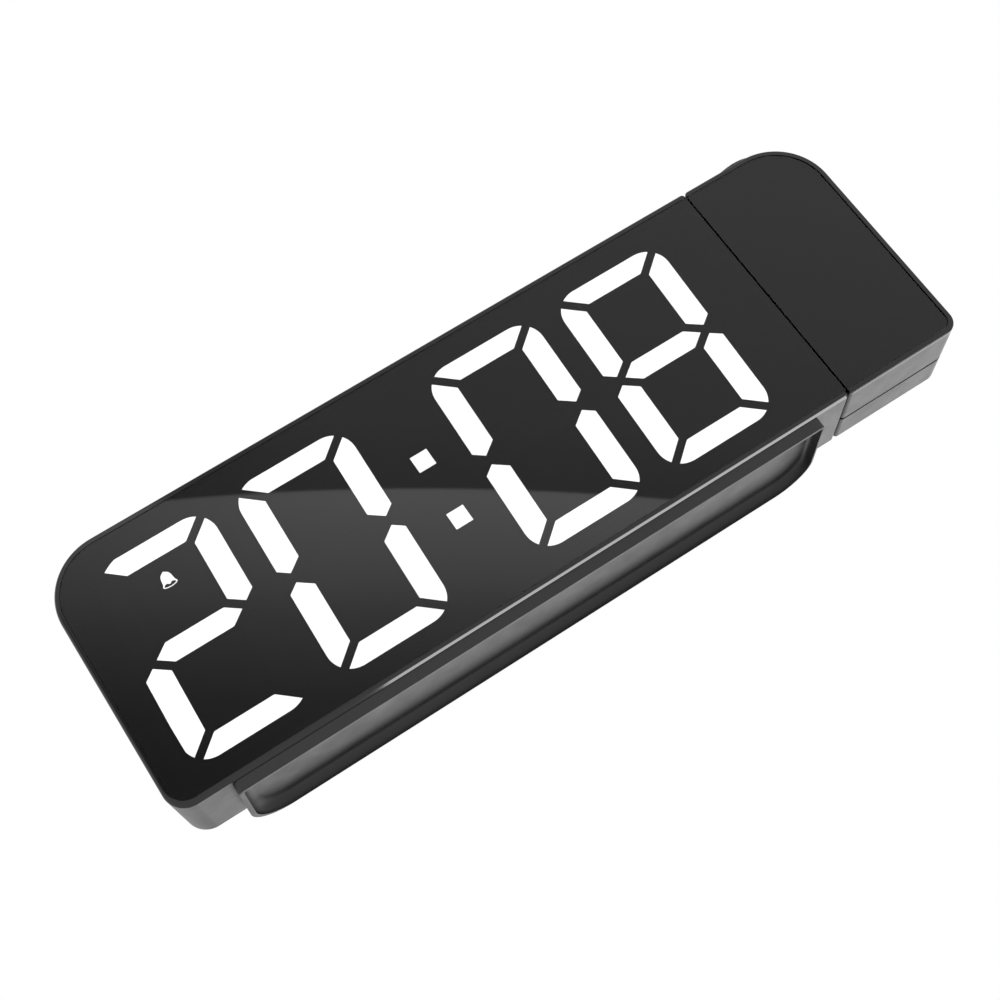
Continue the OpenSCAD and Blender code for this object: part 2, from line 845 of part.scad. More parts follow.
// Side-acting switch on the display board, under the snooze bar
module snooze_switch() {
    body_low = snooze_switch_top - 4.8;
    color([0.2, 0.2, 0.21]) {
        block(snooze_x - switch_w / 2, snooze_x + switch_w / 2, display_back, snooze_depth + 2.6,
            body_low - 1.2, snooze_switch_top - 1.6);
        translate([snooze_x, at_depth(snooze_depth), snooze_switch_top - 1.6 - EPS])
            cylinder(d = plunger_d, h = 1.6 + EPS);
    }
}

// Pin strip between the display board and the control board
module board_link() {
    pins = 8;
    pitch = 2;
    strip_x = left_x + 17;
    strip_z = board_z0 + 18.4;
    color([0.85, 0.7, 0.3])
        for (i = [0:pins - 1])
            block(strip_x + i * pitch - 0.3, strip_x + i * pitch + 0.3, display_back, board_front,
                strip_z - 0.3, strip_z + 0.3);
    color([0.07, 0.07, 0.07])
        block(strip_x - pitch / 2, strip_x + (pins - 0.5) * pitch, display_back, display_back + 2.2,
            strip_z - 1, strip_z + 1);
}

module board_screws() {
    color([0.6, 0.6, 0.62])
        for (p = BOARD_SCREWS) screw_y(p[0], p[1], board_front - head_t, 4.8 + pcb_t - 1.2);
}

// ---- buttons ----

// A rear button with its inner flange and its stem
module rear_button(x) {
    flange_back = rear_inner - flange_play;
    stem_front = board_back + switch_t + plunger_len + button_travel + 0.1;
    rod(x, button_z, button_d, flange_back - EPS, body_t + button_rise - 0.3);
    slab(body_t + button_rise - 0.3 - EPS, body_t + button_rise)
        translate([x, button_z]) circle(d = button_d - 0.5);
    rod(x, button_z, button_flange, flange_back - button_flange_t, flange_back);
    rod(x, button_z, plunger_d, stem_front, flange_back - button_flange_t + EPS);
}

module set_button() {
    color([0.14, 0.14, 0.15]) rear_button(BUTTON_X[3]);
}

module up_button() {
    color([0.14, 0.14, 0.15]) rear_button(BUTTON_X[2]);
}

module down_button() {
    color([0.14, 0.14, 0.15]) rear_button(BUTTON_X[1]);
}

module alarm_button() {
    color([0.14, 0.14, 0.15]) rear_button(BUTTON_X[0]);
}

// Bar in the top wall, flush with it, that stops the alarm for a while
module snooze_bar() {
    half = snooze_len / 2;
    under = top_z - wall_t - flange_play;
    stem_low = snooze_switch_top + snooze_travel + 0.1;
    color([0.14, 0.14, 0.15]) {
        block(snooze_x - half, snooze_x + half, snooze_depth - snooze_w / 2, snooze_depth + snooze_w / 2,
            under - EPS, top_z);
        block(snooze_x - half - 1.4, snooze_x + half + 1.4, snooze_depth - snooze_w / 2 - 1.4,
            snooze_depth + snooze_w / 2 + 1.4, under - snooze_flange, under);
        translate([snooze_x, at_depth(snooze_depth), stem_low])
            cylinder(d = plunger_d, h = under - snooze_flange - stem_low + EPS);
    }
}

// ---- battery bay ----

module battery_door() {
    rib_t = 1;
    rib_low = rear_inner - 0.2;
    color([0.11, 0.11, 0.115])
        difference() {
            union() {
                slab(door_seat, body_t - door_sink) door_outline();
                for (side = [0, 1])
                    block(bay_x0 + 12, bay_x1 - 12, rib_low, door_seat + EPS,
                        side ? bay_z1 - rib_t - 0.25 : bay_z0 + 0.25,
                        side ? bay_z1 - 0.25 : bay_z0 + rib_t + 0.25);
            }
            for (i = [-2:2])
                block((bay_x0 + bay_x1) / 2 - 5, (bay_x0 + bay_x1) / 2 + 5, body_t - 0.45, body_t + 1,
                    bay_z1 - 4 + i * 1.1 - 0.25, bay_z1 - 4 + i * 1.1 + 0.25);
        }
}

// Middle height of a cell
function cell_z(i) = bay_z0 + (i + 0.5) * bay_pitch;

// Three cells side by side, the middle one the other way round
module battery_cells() {
    for (i = [0:2])
        translate([(bay_x0 + bay_x1) / 2, at_depth(cell_depth), cell_z(i)])
            mirror([i == 1 ? 1 : 0, 0, 0])
                translate([bay_len / 2 - contact_t - cell_len, 0, 0])
                    rotate([0, 90, 0]) {
                        color([0.16, 0.32, 0.3]) cylinder(d = cell_d, h = cell_len - nub_len);
                        color([0.8, 0.8, 0.8])
                            translate([0, 0, cell_len - nub_len - EPS])
                                cylinder(d = nub_d, h = nub_len + EPS);
                    }
}

// Points of a ring around the wire of a contact spring
function spring_ring(t, turns, r, wire_r) =
    let (a = 360 * turns * t, rr = r - 1.2 * t)
    [for (k = [0:5])
        let (b = 60 * k, q = rr + wire_r * cos(b))
        [wire_r + (spring_len - 2 * wire_r) * t + wire_r * sin(b), q * cos(a), q * sin(a)]];

// A conical wire spring along X
module contact_spring() {
    turns = 3.5;
    rings = 42;
    points = [for (j = [0:rings]) each spring_ring(j / rings, turns, 3.6, 0.35)];
    sides = [for (j = [0:rings - 1]) for (k = [0:5])
        [6 * j + k, 6 * (j + 1) + k, 6 * (j + 1) + (k + 1) % 6, 6 * j + (k + 1) % 6]];
    ends = [[for (k = [0:5]) k], [for (k = [5:-1:0]) 6 * rings + k]];
    polyhedron(points, concat(sides, ends), convexity = 8);
}

module cell_springs() {
    color([0.78, 0.76, 0.7])
        for (i = [0:2])
            translate([(bay_x0 + bay_x1) / 2, at_depth(cell_depth), cell_z(i)])
                mirror([i == 1 ? 1 : 0, 0, 0])
                    translate([contact_t - bay_len / 2, 0, 0]) contact_spring();
}

// Flat contacts at both ends of every cell
module cell_plates() {
    plate_w = 8.6;
    color([0.78, 0.76, 0.7])
        for (i = [0:2])
            for (x = [bay_x0, bay_x1 - contact_t])
                block(x, x + contact_t, cell_depth - plate_w / 2, cell_depth + plate_w / 2,
                    cell_z(i) - plate_w / 2, cell_z(i) + plate_w / 2);
}

// ---- shaft between the body and the head ----

module shaft_bush() {
    color([0.85, 0.84, 0.8])
        difference() {
            union() {
                bar_x(bush_back, end_inner, bush_flange_d);
                bar_x(end_inner - EPS, body_right, bush_d - 2 * bush_play);
            }
            bar_x(bush_back - 1, body_right + 1, shaft_d + 2 * shaft_fit);
        }
}

// Dished spring that presses the head against the body
module spring_washer() {
    inner = shaft_d / 2 + 0.25;
    outer = bush_flange_d / 2 - 0.4;
    color([0.7, 0.7, 0.72])
        translate([spring_back, at_depth(axis_depth), axis_z])
            rotate([0, 90, 0])
                rotate_extrude()
                    polygon([
                        [inner, 0], [inner + 0.2, 0], [outer, spring_rise - spring_sheet],
                        [outer, spring_rise], [outer - 0.2, spring_rise], [inner, spring_sheet]
                    ]);
}

module thrust_washer() {
    color([0.7, 0.7, 0.72])
        difference() {
            bar_x(washer_back, spring_back, bush_flange_d);
            bar_x(washer_back - 1, spring_back + 1, shaft_d + 0.3);
        }
}

// Split ring in the groove of the shaft
module retaining_clip() {
    color([0.55, 0.55, 0.57])
        difference() {
            bar_x(clip_back, clip_back + clip_t, shaft_d + 3);
            bar_x(clip_back - 1, clip_back + clip_t + 1, groove_d + 0.1);
            translate([clip_back - 1, at_depth(axis_depth) - 2, axis_z - shaft_d])
                cube([clip_t + 2, 4, shaft_d]);
        }
}

// Tube that carries the head, with a flange inside the head
module hollow_shaft() {
    color([0.72, 0.72, 0.74])
        difference() {
            union() {
                bar_x(shaft_end, hub_inner + EPS, shaft_d);
                bar_x(hub_inner, hub_inner + hub_flange_t, hub_flange_d);
            }
            bar_x(shaft_end - 1, hub_inner + hub_flange_t + 1, shaft_bore);
            difference() {
                bar_x(clip_back - 0.05, clip_back + clip_t + 0.05, shaft_d + 1);
                bar_x(clip_back - 1, clip_back + clip_t + 1, groove_d);
            }
        }
}

// Plug of the projector's lead on the display board
module lead_plug() {
    color([0.9, 0.9, 0.88])
        block(box_right - 6.5, box_right - 1.5, display_back, axis_depth + 1.6, axis_z - 3.4, axis_z + 3.4);
}

// The part of the lead that stays with the body, along the axis of the shaft
module body_lead() {
    color([0.75, 0.1, 0.1]) bar_x(box_right - 1.5, hub_inner + 1, lead_d);
}

// The part of the lead inside the head, from the axis down to the light source's board
module head_lead() {
    bend_r = 2.6;
    lead_x = hub_inner + 1;
    low = led_board_z + led_board_t;
    color([0.75, 0.1, 0.1]) {
        bar_x(lead_x, lead_x + 0.8, lead_d);
        translate([lead_x + 0.8, at_depth(axis_depth), axis_z - bend_r])
            rotate([-90, 0, 0])
                rotate([0, 0, -90])
                    rotate_extrude(angle = 90) translate([bend_r, 0]) circle(d = lead_d, $fn = 24);
        translate([lead_x + 0.8 + bend_r, at_depth(axis_depth), low])
            cylinder(d = lead_d, h = axis_z - bend_r - low);
    }
}

// ---- projector head ----

// Hollow form of the head between two depths
module head_walls(d0, d1) {
    slab(d0, d1)
        difference() {
            head_outline();
            head_outline(head_wall, head_wall);
        }
}

// Seat of the focus ring, sunk into the head's top
module ring_hole() {
    translate([lens_x, at_depth(lens_depth), collar_low - 1])
        cylinder(d = ring_skirt_d + 2 * slide_fit, h = 10);
    translate([lens_x, at_depth(lens_depth), ring_seat])
        cylinder(d = ring_d + 2 * slide_fit, h = 10);
}

// Collar under the head's top that guides the focus ring, between two depths
module ring_collar(d0, d1) {
    intersection() {
        slab(d0, d1) head_outline(head_wall / 2, head_wall / 2);
        translate([lens_x, at_depth(lens_depth), collar_low])
            cylinder(d = ring_d + 2 * slide_fit + 2, h = 20);
    }
}

module head_front_shell() {
    color([0.09, 0.09, 0.095])
        difference() {
            union() {
                slab(0, film_back + 1.2) head_outline();
                head_walls(film_back + 1, shell_split);
                ring_collar(film_back, shell_split);
            }
            slab(-1, panel_back) head_outline(rim_w, seam_rim);
            ring_hole();
            bar_x(head_left - 1, hub_inner + EPS, shaft_d + 0.1);
            for (p = HEAD_SCREWS) rod(p[0], p[1], screw_d + 2 * screw_play, film_back + 1, shell_split + 1);
        }
    color([0.09, 0.09, 0.095])
        for (p = HEAD_SCREWS)
            difference() {
                rod(p[0], p[1], 4.4, film_back + 1, shell_split);
                rod(p[0], p[1], screw_d + 2 * screw_play, shell_split - 7, shell_split + 1);
            }
}

module head_rear_shell() {
    color([0.09, 0.09, 0.095])
        difference() {
            union() {
                difference() {
                    union() {
                        slab(shell_split, body_t - rear_bevel) head_outline();
                        hull() {
                            slab(body_t - rear_bevel - EPS, body_t - rear_bevel) head_outline();
                            slab(body_t - EPS, body_t) head_outline(rear_bevel);
                        }
                    }
                    slab(0, head_rear_inner) head_outline(head_wall, head_wall);
                }
                ring_collar(shell_split, head_rear_inner + EPS);
                for (p = HEAD_SCREWS) rod(p[0], p[1], 5.4, shell_split, body_t - head_wall + EPS);
            }
            ring_hole();
            bar_x(head_left - 1, hub_inner + EPS, shaft_d + 0.1);
            for (p = HEAD_SCREWS) {
                rod(p[0], p[1], screw_d + 0.4, shell_split - 1, body_t + 1);
                rod(p[0], p[1], head_d + 0.4, shell_split + 2, body_t + 1);
            }
        }
}

module head_panel() {
    color([0.05, 0.05, 0.055])
        slab(panel_sink, panel_back) head_outline(rim_w + panel_gap, seam_rim + panel_gap);
}

module head_screws() {
    color([0.5, 0.5, 0.52])
        for (p = HEAD_SCREWS)
            translate([0, 2 * at_depth(shell_split + 2), 0])
                mirror([0, 1, 0])
                    screw_y(p[0], p[1], shell_split + 2 - head_t, 6);
}

// A tube on the projector's optical axis
module optic_tube(outer, inner, z0, z1) {
    translate([lens_x, at_depth(lens_depth), z0])
        difference() {
            cylinder(d = outer, h = z1 - z0);
            translate([0, 0, -1]) cylinder(d = inner, h = z1 - z0 + 2);
        }
}

// Fixed tube under the focus ring, clamped between the head's two shells
module lens_barrel() {
    barrel_high = ring_low - slide_fit;
    color([0.06, 0.06, 0.065])
        difference() {
            union() {
                optic_tube(barrel_d, lens_bore + 2 * slide_fit, barrel_low, barrel_high);
                block(lens_x - clamp_w / 2, lens_x + clamp_w / 2, head_front_inner + 0.1,
                    head_rear_inner - 0.1, barrel_low + 4, barrel_low + 4 + tray_t);
            }
            translate([lens_x, at_depth(lens_depth), barrel_low - 1])
                cylinder(d = lens_bore + 2 * slide_fit, h = body_h);
        }
}

// Ring around the lens that is turned to focus; a flange below the collar keeps it in
module focus_ring() {
    grip_low = ring_seat + slide_fit;
    grip_h = top_z + ring_rise - grip_low;
    color([0.1, 0.1, 0.105])
        translate([lens_x, at_depth(lens_depth), 0])
            difference() {
                union() {
                    translate([0, 0, grip_low]) cylinder(d = ring_d - 0.6, h = grip_h);
                    for (i = [0:knurl_count - 1])
                        rotate([0, 0, i * 360 / knurl_count])
                            translate([ring_d / 2 - 0.8, -0.35, grip_low + 0.6])
                                cube([0.8, 0.7, grip_h - 1.2]);
                    translate([0, 0, ring_low]) cylinder(d = ring_skirt_d, h = grip_low - ring_low + EPS);
                    translate([0, 0, ring_low])
                        cylinder(d = ring_skirt_d + 1.4, h = collar_low - slide_fit - ring_low);
                }
                translate([0, 0, ring_low - 1]) cylinder(d = lens_bore + 2 * slide_fit, h = body_h);
            }
}

// Sleeve that holds the objective lens and moves along the optical axis
module lens_cell() {
    color([0.05, 0.05, 0.055]) {
        optic_tube(lens_bore, lens_d + 0.1, cell_sleeve_top - cell_sleeve_len, cell_sleeve_top + 3);
        optic_tube(lens_bore - EPS, lens_d - 1.4, cell_sleeve_top - 4, cell_sleeve_top - 3);
    }
}

// Biconvex lens, thicker in the middle
module glass_lens(z, dia, thick, bulge) {
    r = (dia * dia / 4 + bulge * bulge) / (2 * bulge);
    translate([lens_x, at_depth(lens_depth), z])
        intersection() {
            cylinder(d = dia, h = thick);
            translate([0, 0, thick - r]) sphere(r, $fn = 96);
            translate([0, 0, r]) sphere(r, $fn = 96);
        }
}

module objective_lens() {
    color([0.8, 0.9, 1, 0.5]) glass_lens(cell_sleeve_top - 3, lens_d, 3.6, 1.2);
}

// Tray across the head that carries the time slide and the condenser
module slide_holder() {
    color([0.07, 0.07, 0.075])
        difference() {
            union() {
                block(lens_x - lcd_w / 2 - 1.2, lens_x + lcd_w / 2 + 1.2, lens_depth - lcd_w / 2 - 0.2,
                    lens_depth + lcd_w / 2 + 0.2, condenser_z - 1.2, lcd_z);
                block(lens_x - clamp_w / 2, lens_x + clamp_w / 2, head_front_inner + 0.1,
                    head_rear_inner - 0.1, lcd_z - tray_t - 2, lcd_z - 2);
                block(lens_x, head_inner_r - 0.1, lens_depth - clamp_w / 2, lens_depth + clamp_w / 2,
                    lcd_z - tray_t - 2, lcd_z - 2);
            }
            translate([lens_x, at_depth(lens_depth), condenser_z])
                cylinder(d = lcd_w - 2.6, h = 40);
            translate([lens_x, at_depth(lens_depth), condenser_z - 5])
                cylinder(d = lcd_w - 5, h = 40);
        }
}

// Small display whose figures are thrown on the ceiling
module time_slide() {
    color([0.5, 0.55, 0.5, 0.8])
        block(lens_x - lcd_w / 2, lens_x + lcd_w / 2, lens_depth - lcd_w / 2, lens_depth + lcd_w / 2,
            lcd_z, lcd_z + lcd_t);
}

module condenser_lens() {
    color([0.8, 0.9, 1, 0.5]) glass_lens(condenser_z, lcd_w - 2.8, 4.4, 1.8);
}

module led_board() {
    color([0.06, 0.22, 0.12])
        block(hub_inner + 0.2, head_inner_r - 0.2, lens_depth - 4.6, lens_depth + 4.6,
            led_board_z, led_board_z + led_board_t);
}

module projector_led() {
    color([0.95, 0.9, 0.6])
        translate([lens_x, at_depth(lens_depth), led_board_z + led_board_t]) {
            translate([-2.5, -2.5, 0]) cube([5, 5, 1.6]);
            translate([0, 0, 1.6 - EPS]) cylinder(d = 3.6, h = 0.8);
        }
}

main_housing();
foot();
front_panel();
panel_tape();
mask_film();
light_box();
lit_segments();
unlit_segments();
colon_dots();
bell_icon();
display_board();
segment_leds();
display_screws();
control_board();
controller_chip();
clock_crystal();
usb_inlet();
buzzer();
button_switches();
snooze_switch();
board_link();
board_screws();
set_button();
up_button();
down_button();
alarm_button();
snooze_bar();
battery_door();
battery_cells();
cell_springs();
cell_plates();
shaft_bush();
spring_washer();
thrust_washer();
retaining_clip();
hollow_shaft();
lead_plug();
body_lead();
head_lead();
head_front_shell();
head_rear_shell();
head_panel();
head_screws();
lens_barrel();
focus_ring();
lens_cell();
objective_lens();
slide_holder();
time_slide();
condenser_lens();
led_board();
projector_led();
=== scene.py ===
import json
import math

import bmesh
import bpy
from mathutils import Matrix, Vector


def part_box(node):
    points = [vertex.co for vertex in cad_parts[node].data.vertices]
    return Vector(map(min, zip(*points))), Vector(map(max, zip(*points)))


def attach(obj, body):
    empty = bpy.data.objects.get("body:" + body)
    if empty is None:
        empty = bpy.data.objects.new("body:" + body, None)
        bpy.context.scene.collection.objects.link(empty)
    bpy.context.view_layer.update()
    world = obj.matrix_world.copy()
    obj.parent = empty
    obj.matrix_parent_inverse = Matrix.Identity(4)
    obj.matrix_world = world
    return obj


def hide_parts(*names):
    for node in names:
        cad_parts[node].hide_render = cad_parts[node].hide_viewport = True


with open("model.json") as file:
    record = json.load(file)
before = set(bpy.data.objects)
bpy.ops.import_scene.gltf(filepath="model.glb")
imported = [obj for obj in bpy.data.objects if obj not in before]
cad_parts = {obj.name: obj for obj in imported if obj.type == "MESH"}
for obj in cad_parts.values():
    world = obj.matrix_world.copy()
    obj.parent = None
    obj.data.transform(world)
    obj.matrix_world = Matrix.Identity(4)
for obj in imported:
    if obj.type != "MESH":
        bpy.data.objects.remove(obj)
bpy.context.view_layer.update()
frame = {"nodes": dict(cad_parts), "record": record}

MM = 0.001
NODES = frame["nodes"]


def mm_box(node):
    """Lowest and highest corner of a CAD node in millimetres."""
    lo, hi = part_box(node)
    return lo / MM, hi / MM


HOUSE_LO, HOUSE_HI = mm_box("main_housing")
HEAD_LO, HEAD_HI = mm_box("head_front_shell")
REAR_LO, REAR_HI = mm_box("head_rear_shell")
FOOT_LO, FOOT_HI = mm_box("foot")
FILM_LO, FILM_HI = mm_box("mask_film")
BELL_LO, BELL_HI = mm_box("bell_icon")

# Lengths from here on are in mm unless a line says metres. A depth is counted from the face to the rear.
FRONT_Y = HOUSE_LO.y

# Corners of the casing, seen from the front
TOP_R = 13.4
LOW_R = 5.0
HEAD_LOW_R = 3.5
SEAM_R = 0.8
# Width of the rim round the panels, and the panels' play in it
RIM_W = 1.2
PANEL_IN = RIM_W + 0.05
# Depth of the polished front edge, and how far it is rounded off at the sides and at the left end
POLISH = 1.0
POLISH_END = 0.15
EDGE_R = 0.75
EDGE_SIDE = 0.35
EDGE_FAR = 0.8
# Lower front edge of the body and of the head: radius, and the slopes in degrees between which it runs
BODY_LOW = (4.0, 60, 38)
HEAD_LOW = (0.3, 88, 4)
# Rounding of the edges at the seam and at the joint of the head's shells
SOFT_R = 0.12
# Bevel at the rear, the rounding of its edges, and how far the body's left end comes in towards the rear
REAR_BEVEL = 1.1
REAR_ROUND = 0.4
BODY_TAPER = 0.95
# Groove at the joint of the head's shells: its width and its depth into the wall
SPLIT_GAP = 0.7
SPLIT_DEEP = 0.6
# How far the outer skin stays inside the CAD surface
SKIN_IN = 0.02


# ---------------------------------------------------------------- materials

def new_material(name):
    mat = bpy.data.materials.new(name)
    mat.use_nodes = True
    tree = mat.node_tree
    tree.nodes.clear()
    out = tree.nodes.new("ShaderNodeOutputMaterial")
    return mat, tree, out


def principled(name):
    """A new material with a Principled shader on its output."""
    mat, tree, out = new_material(name)
    bsdf = add(tree, "ShaderNodeBsdfPrincipled")
    tree.links.new(bsdf.outputs["BSDF"], out.inputs["Surface"])
    return mat, tree, bsdf


def add(tree, kind, **values):
    node = tree.nodes.new(kind)
    for key, value in values.items():
        setattr(node, key, value)
    return node


def coords(tree, stretch=(1, 1, 1)):
    """Object coordinates, which for every piece are the clock's own frame in metres."""
    tc = add(tree, "ShaderNodeTexCoord")
    mp = add(tree, "ShaderNodeMapping")
    mp.inputs["Scale"].default_value = stretch
    tree.links.new(tc.outputs["Object"], mp.inputs["Vector"])
    return mp.outputs["Vector"]


def noise(tree, vector, scale, detail=3.0, rough=0.55):
    n = add(tree, "ShaderNodeTexNoise")
    n.inputs["Scale"].default_value = scale
    n.inputs["Detail"].default_value = detail
    n.inputs["Roughness"].default_value = rough
    tree.links.new(vector, n.inputs["Vector"])
    return n.outputs["Fac"]


def ramp(tree, fac, stops):
    """Colour ramp through (position, colour) stops."""
    r = add(tree, "ShaderNodeValToRGB")
    els = r.color_ramp.elements
    while len(els) < len(stops):
        els.new(0.5)
    for el, (pos, col) in zip(els, stops):
        el.position = pos
        el.color = (*col, 1.0)
    tree.links.new(fac, r.inputs["Fac"])
    return r.outputs["Color"]


def grey(v):
    return (v, v, v)


def tones(tree, fac, low, high, tint=(1, 1, 1)):
    """Two tones of one tint over the middle of a noise."""
    return ramp(tree, fac, [(0.3, tuple(low * t for t in tint)), (0.7, tuple(high * t for t in tint))])


def to_range(tree, fac, low, high, new_low, new_high):
    m = add(tree, "ShaderNodeMapRange")
    for key, value in (("From Min", low), ("From Max", high), ("To Min", new_low), ("To Max", new_high)):
        m.inputs[key].default_value = value
    tree.links.new(fac, m.inputs["Value"])
    return m.outputs["Result"]


def spread(tree, fac, low, high):
    """Values from low to high over the middle of a noise."""
    return to_range(tree, fac, 0.3, 0.7, low, high)


def maths(tree, operation, a, b):
    """Result of a two-socket maths node."""
    m = add(tree, "ShaderNodeMath", operation=operation)
    tree.links.new(a, m.inputs[0])
    tree.links.new(b, m.inputs[1])
    return m.outputs[0]


def blend(tree, fac, a, b):
    """Mix from the socket a to the plain colour b."""
    m = add(tree, "ShaderNodeMixRGB")
    tree.links.new(fac, m.inputs["Fac"])
    tree.links.new(a, m.inputs["Color1"])
    m.inputs["Color2"].default_value = (*b, 1.0)
    return m.outputs["Color"]


def bump(tree, height, strength, distance):
    """Normal from a height; the distance is in metres."""
    b = add(tree, "ShaderNodeBump")
    b.inputs["Strength"].default_value = strength
    b.inputs["Distance"].default_value = distance
    tree.links.new(height, b.inputs["Height"])
    return b.outputs["Normal"]


def near_front(tree, vec, start, end):
    """1 up to the depth start, 0 from the depth end on."""
    sep = add(tree, "ShaderNodeSeparateXYZ")
    tree.links.new(vec, sep.inputs[0])
    return to_range(tree, sep.outputs["Y"], (FRONT_Y + start) * MM, (FRONT_Y + end) * MM, 1.0, 0.0)


# Eroded texture of moulded plastic: scale of its noise, and its height in metres
GRAIN_SCALE = 5200.0
GRAIN = 0.00002
# Tone, gloss and grain of the polished edge
POLISHED_TONE = 0.002
POLISHED_GLOSS = 0.06
NO_GRAIN = 0.5
# Depths between which the paler tone painted on the foot's front wall, as light falling there, gives way to
# the darker tone painted on its inside as shade
PAINTED_LIGHT_TO_SHADE = (2.0, 2.6)


def plastic(name, low, high, rough=(0.38, 0.5), grain=GRAIN, tint=(1, 1, 1), polished=False, level=0.5,
            painted_light_front_tone=None):
    """Moulded plastic with a fine eroded texture and slight changes in tone and gloss.

    polished gives it a glossy black front edge, and the front tone is a paler tone painted on the foot's front
    wall, in front of the given depths, as the light that falls there."""
    mat, tree, bsdf = principled(name)
    vec = coords(tree)
    fine = noise(tree, vec, GRAIN_SCALE, 2.0, 0.6)
    colour = tones(tree, noise(tree, vec, 45.0, 2.0), low, high, tint)
    gloss = spread(tree, noise(tree, vec, 160.0), *rough)
    if polished:
        edge = near_front(tree, vec, POLISH, POLISH + POLISH_END)
        colour = blend(tree, edge, colour, grey(POLISHED_TONE))
        gloss = blend(tree, edge, gloss, grey(POLISHED_GLOSS))
        fine = blend(tree, edge, fine, grey(NO_GRAIN))
    # Paler tone painted on the foot's front wall for the light that falls there, against the darker tone
    # painted in its cavity as shade
    if painted_light_front_tone:
        colour = blend(tree, near_front(tree, vec, *PAINTED_LIGHT_TO_SHADE), colour, grey(painted_light_front_tone))
    tree.links.new(colour, bsdf.inputs["Base Color"])
    tree.links.new(gloss, bsdf.inputs["Roughness"])
    tree.links.new(bump(tree, fine, 0.5, grain), bsdf.inputs["Normal"])
    bsdf.inputs["IOR"].default_value = 1.5
    bsdf.inputs["Specular IOR Level"].default_value = level
    return mat


def metal(name, low, high, rough=(0.25, 0.4), tint=(1, 1, 1), stretch=(1, 1, 1)):
    """Plated or turned metal with fine streaks."""
    mat, tree, bsdf = principled(name)
    streak = noise(tree, coords(tree, stretch), 900.0)
    tree.links.new(tones(tree, streak, low, high, tint), bsdf.inputs["Base Color"])
    tree.links.new(spread(tree, streak, *rough), bsdf.inputs["Roughness"])
    tree.links.new(bump(tree, streak, 0.3, 0.00001), bsdf.inputs["Normal"])
    bsdf.inputs["Metallic"].default_value = 1.0
    return mat


# Depths between which the printing on the rear of the head's panel starts
PRINTING = (1.40, 1.44)


def smoked_glass(name, printed=False):
    """Clear acrylic with a dark smoke tint and a polished face, perhaps printed black on its rear."""
    mat, tree, bsdf = principled(name)
    vec = coords(tree)
    colour = tones(tree, noise(tree, vec, 30.0, 2.0), 0.095, 0.105)
    if printed:
        colour = maths(tree, "MULTIPLY", colour, near_front(tree, vec, *PRINTING))
    tree.links.new(colour, bsdf.inputs["Base Color"])
    tree.links.new(spread(tree, noise(tree, vec, 90.0, 4.0), 0.004, 0.012), bsdf.inputs["Roughness"])
    bsdf.inputs["Transmission Weight"].default_value = 1.0
    bsdf.inputs["IOR"].default_value = 1.42
    return mat


def clear_lens(name):
    """Clear glass with a faint cold tint."""
    mat, tree, bsdf = principled(name)
    vec = coords(tree)
    colour = ramp(tree, noise(tree, vec, 60.0, 2.0), [(0.3, (0.86, 0.92, 0.95)), (0.7, (0.9, 0.94, 0.97))])
    tree.links.new(colour, bsdf.inputs["Base Color"])
    tree.links.new(spread(tree, noise(tree, vec, 300.0, 2.0), 0.01, 0.03), bsdf.inputs["Roughness"])
    bsdf.inputs["Transmission Weight"].default_value = 1.0
    bsdf.inputs["IOR"].default_value = 1.5
    return mat


def glowing(name, strength):
    """Frosted white filler lit from behind."""
    mat, tree, bsdf = principled(name)
    vec = coords(tree)
    colour = tones(tree, noise(tree, vec, 120.0, 2.0), 0.97, 1.0)
    tree.links.new(colour, bsdf.inputs["Base Color"])
    tree.links.new(colour, bsdf.inputs["Emission Color"])
    bsdf.inputs["Emission Strength"].default_value = strength
    tree.links.new(spread(tree, noise(tree, vec, 2000.0, 2.0), 0.5, 0.7), bsdf.inputs["Roughness"])
    return mat


def board(name):
    """Green solder mask with faint tracks."""
    mat, tree, bsdf = principled(name)
    vec = coords(tree)
    brick = add(tree, "ShaderNodeTexBrick")
    brick.inputs["Scale"].default_value = 260.0
    brick.inputs["Color1"].default_value = (0.02, 0.13, 0.06, 1)
    brick.inputs["Color2"].default_value = (0.015, 0.10, 0.05, 1)
    brick.inputs["Mortar"].default_value = (0.03, 0.19, 0.09, 1)
    brick.inputs["Mortar Size"].default_value = 0.03
    tree.links.new(vec, brick.inputs["Vector"])
    tree.links.new(brick.outputs["Color"], bsdf.inputs["Base Color"])
    tree.links.new(spread(tree, noise(tree, vec, 400.0), 0.25, 0.4), bsdf.inputs["Roughness"])
    return mat


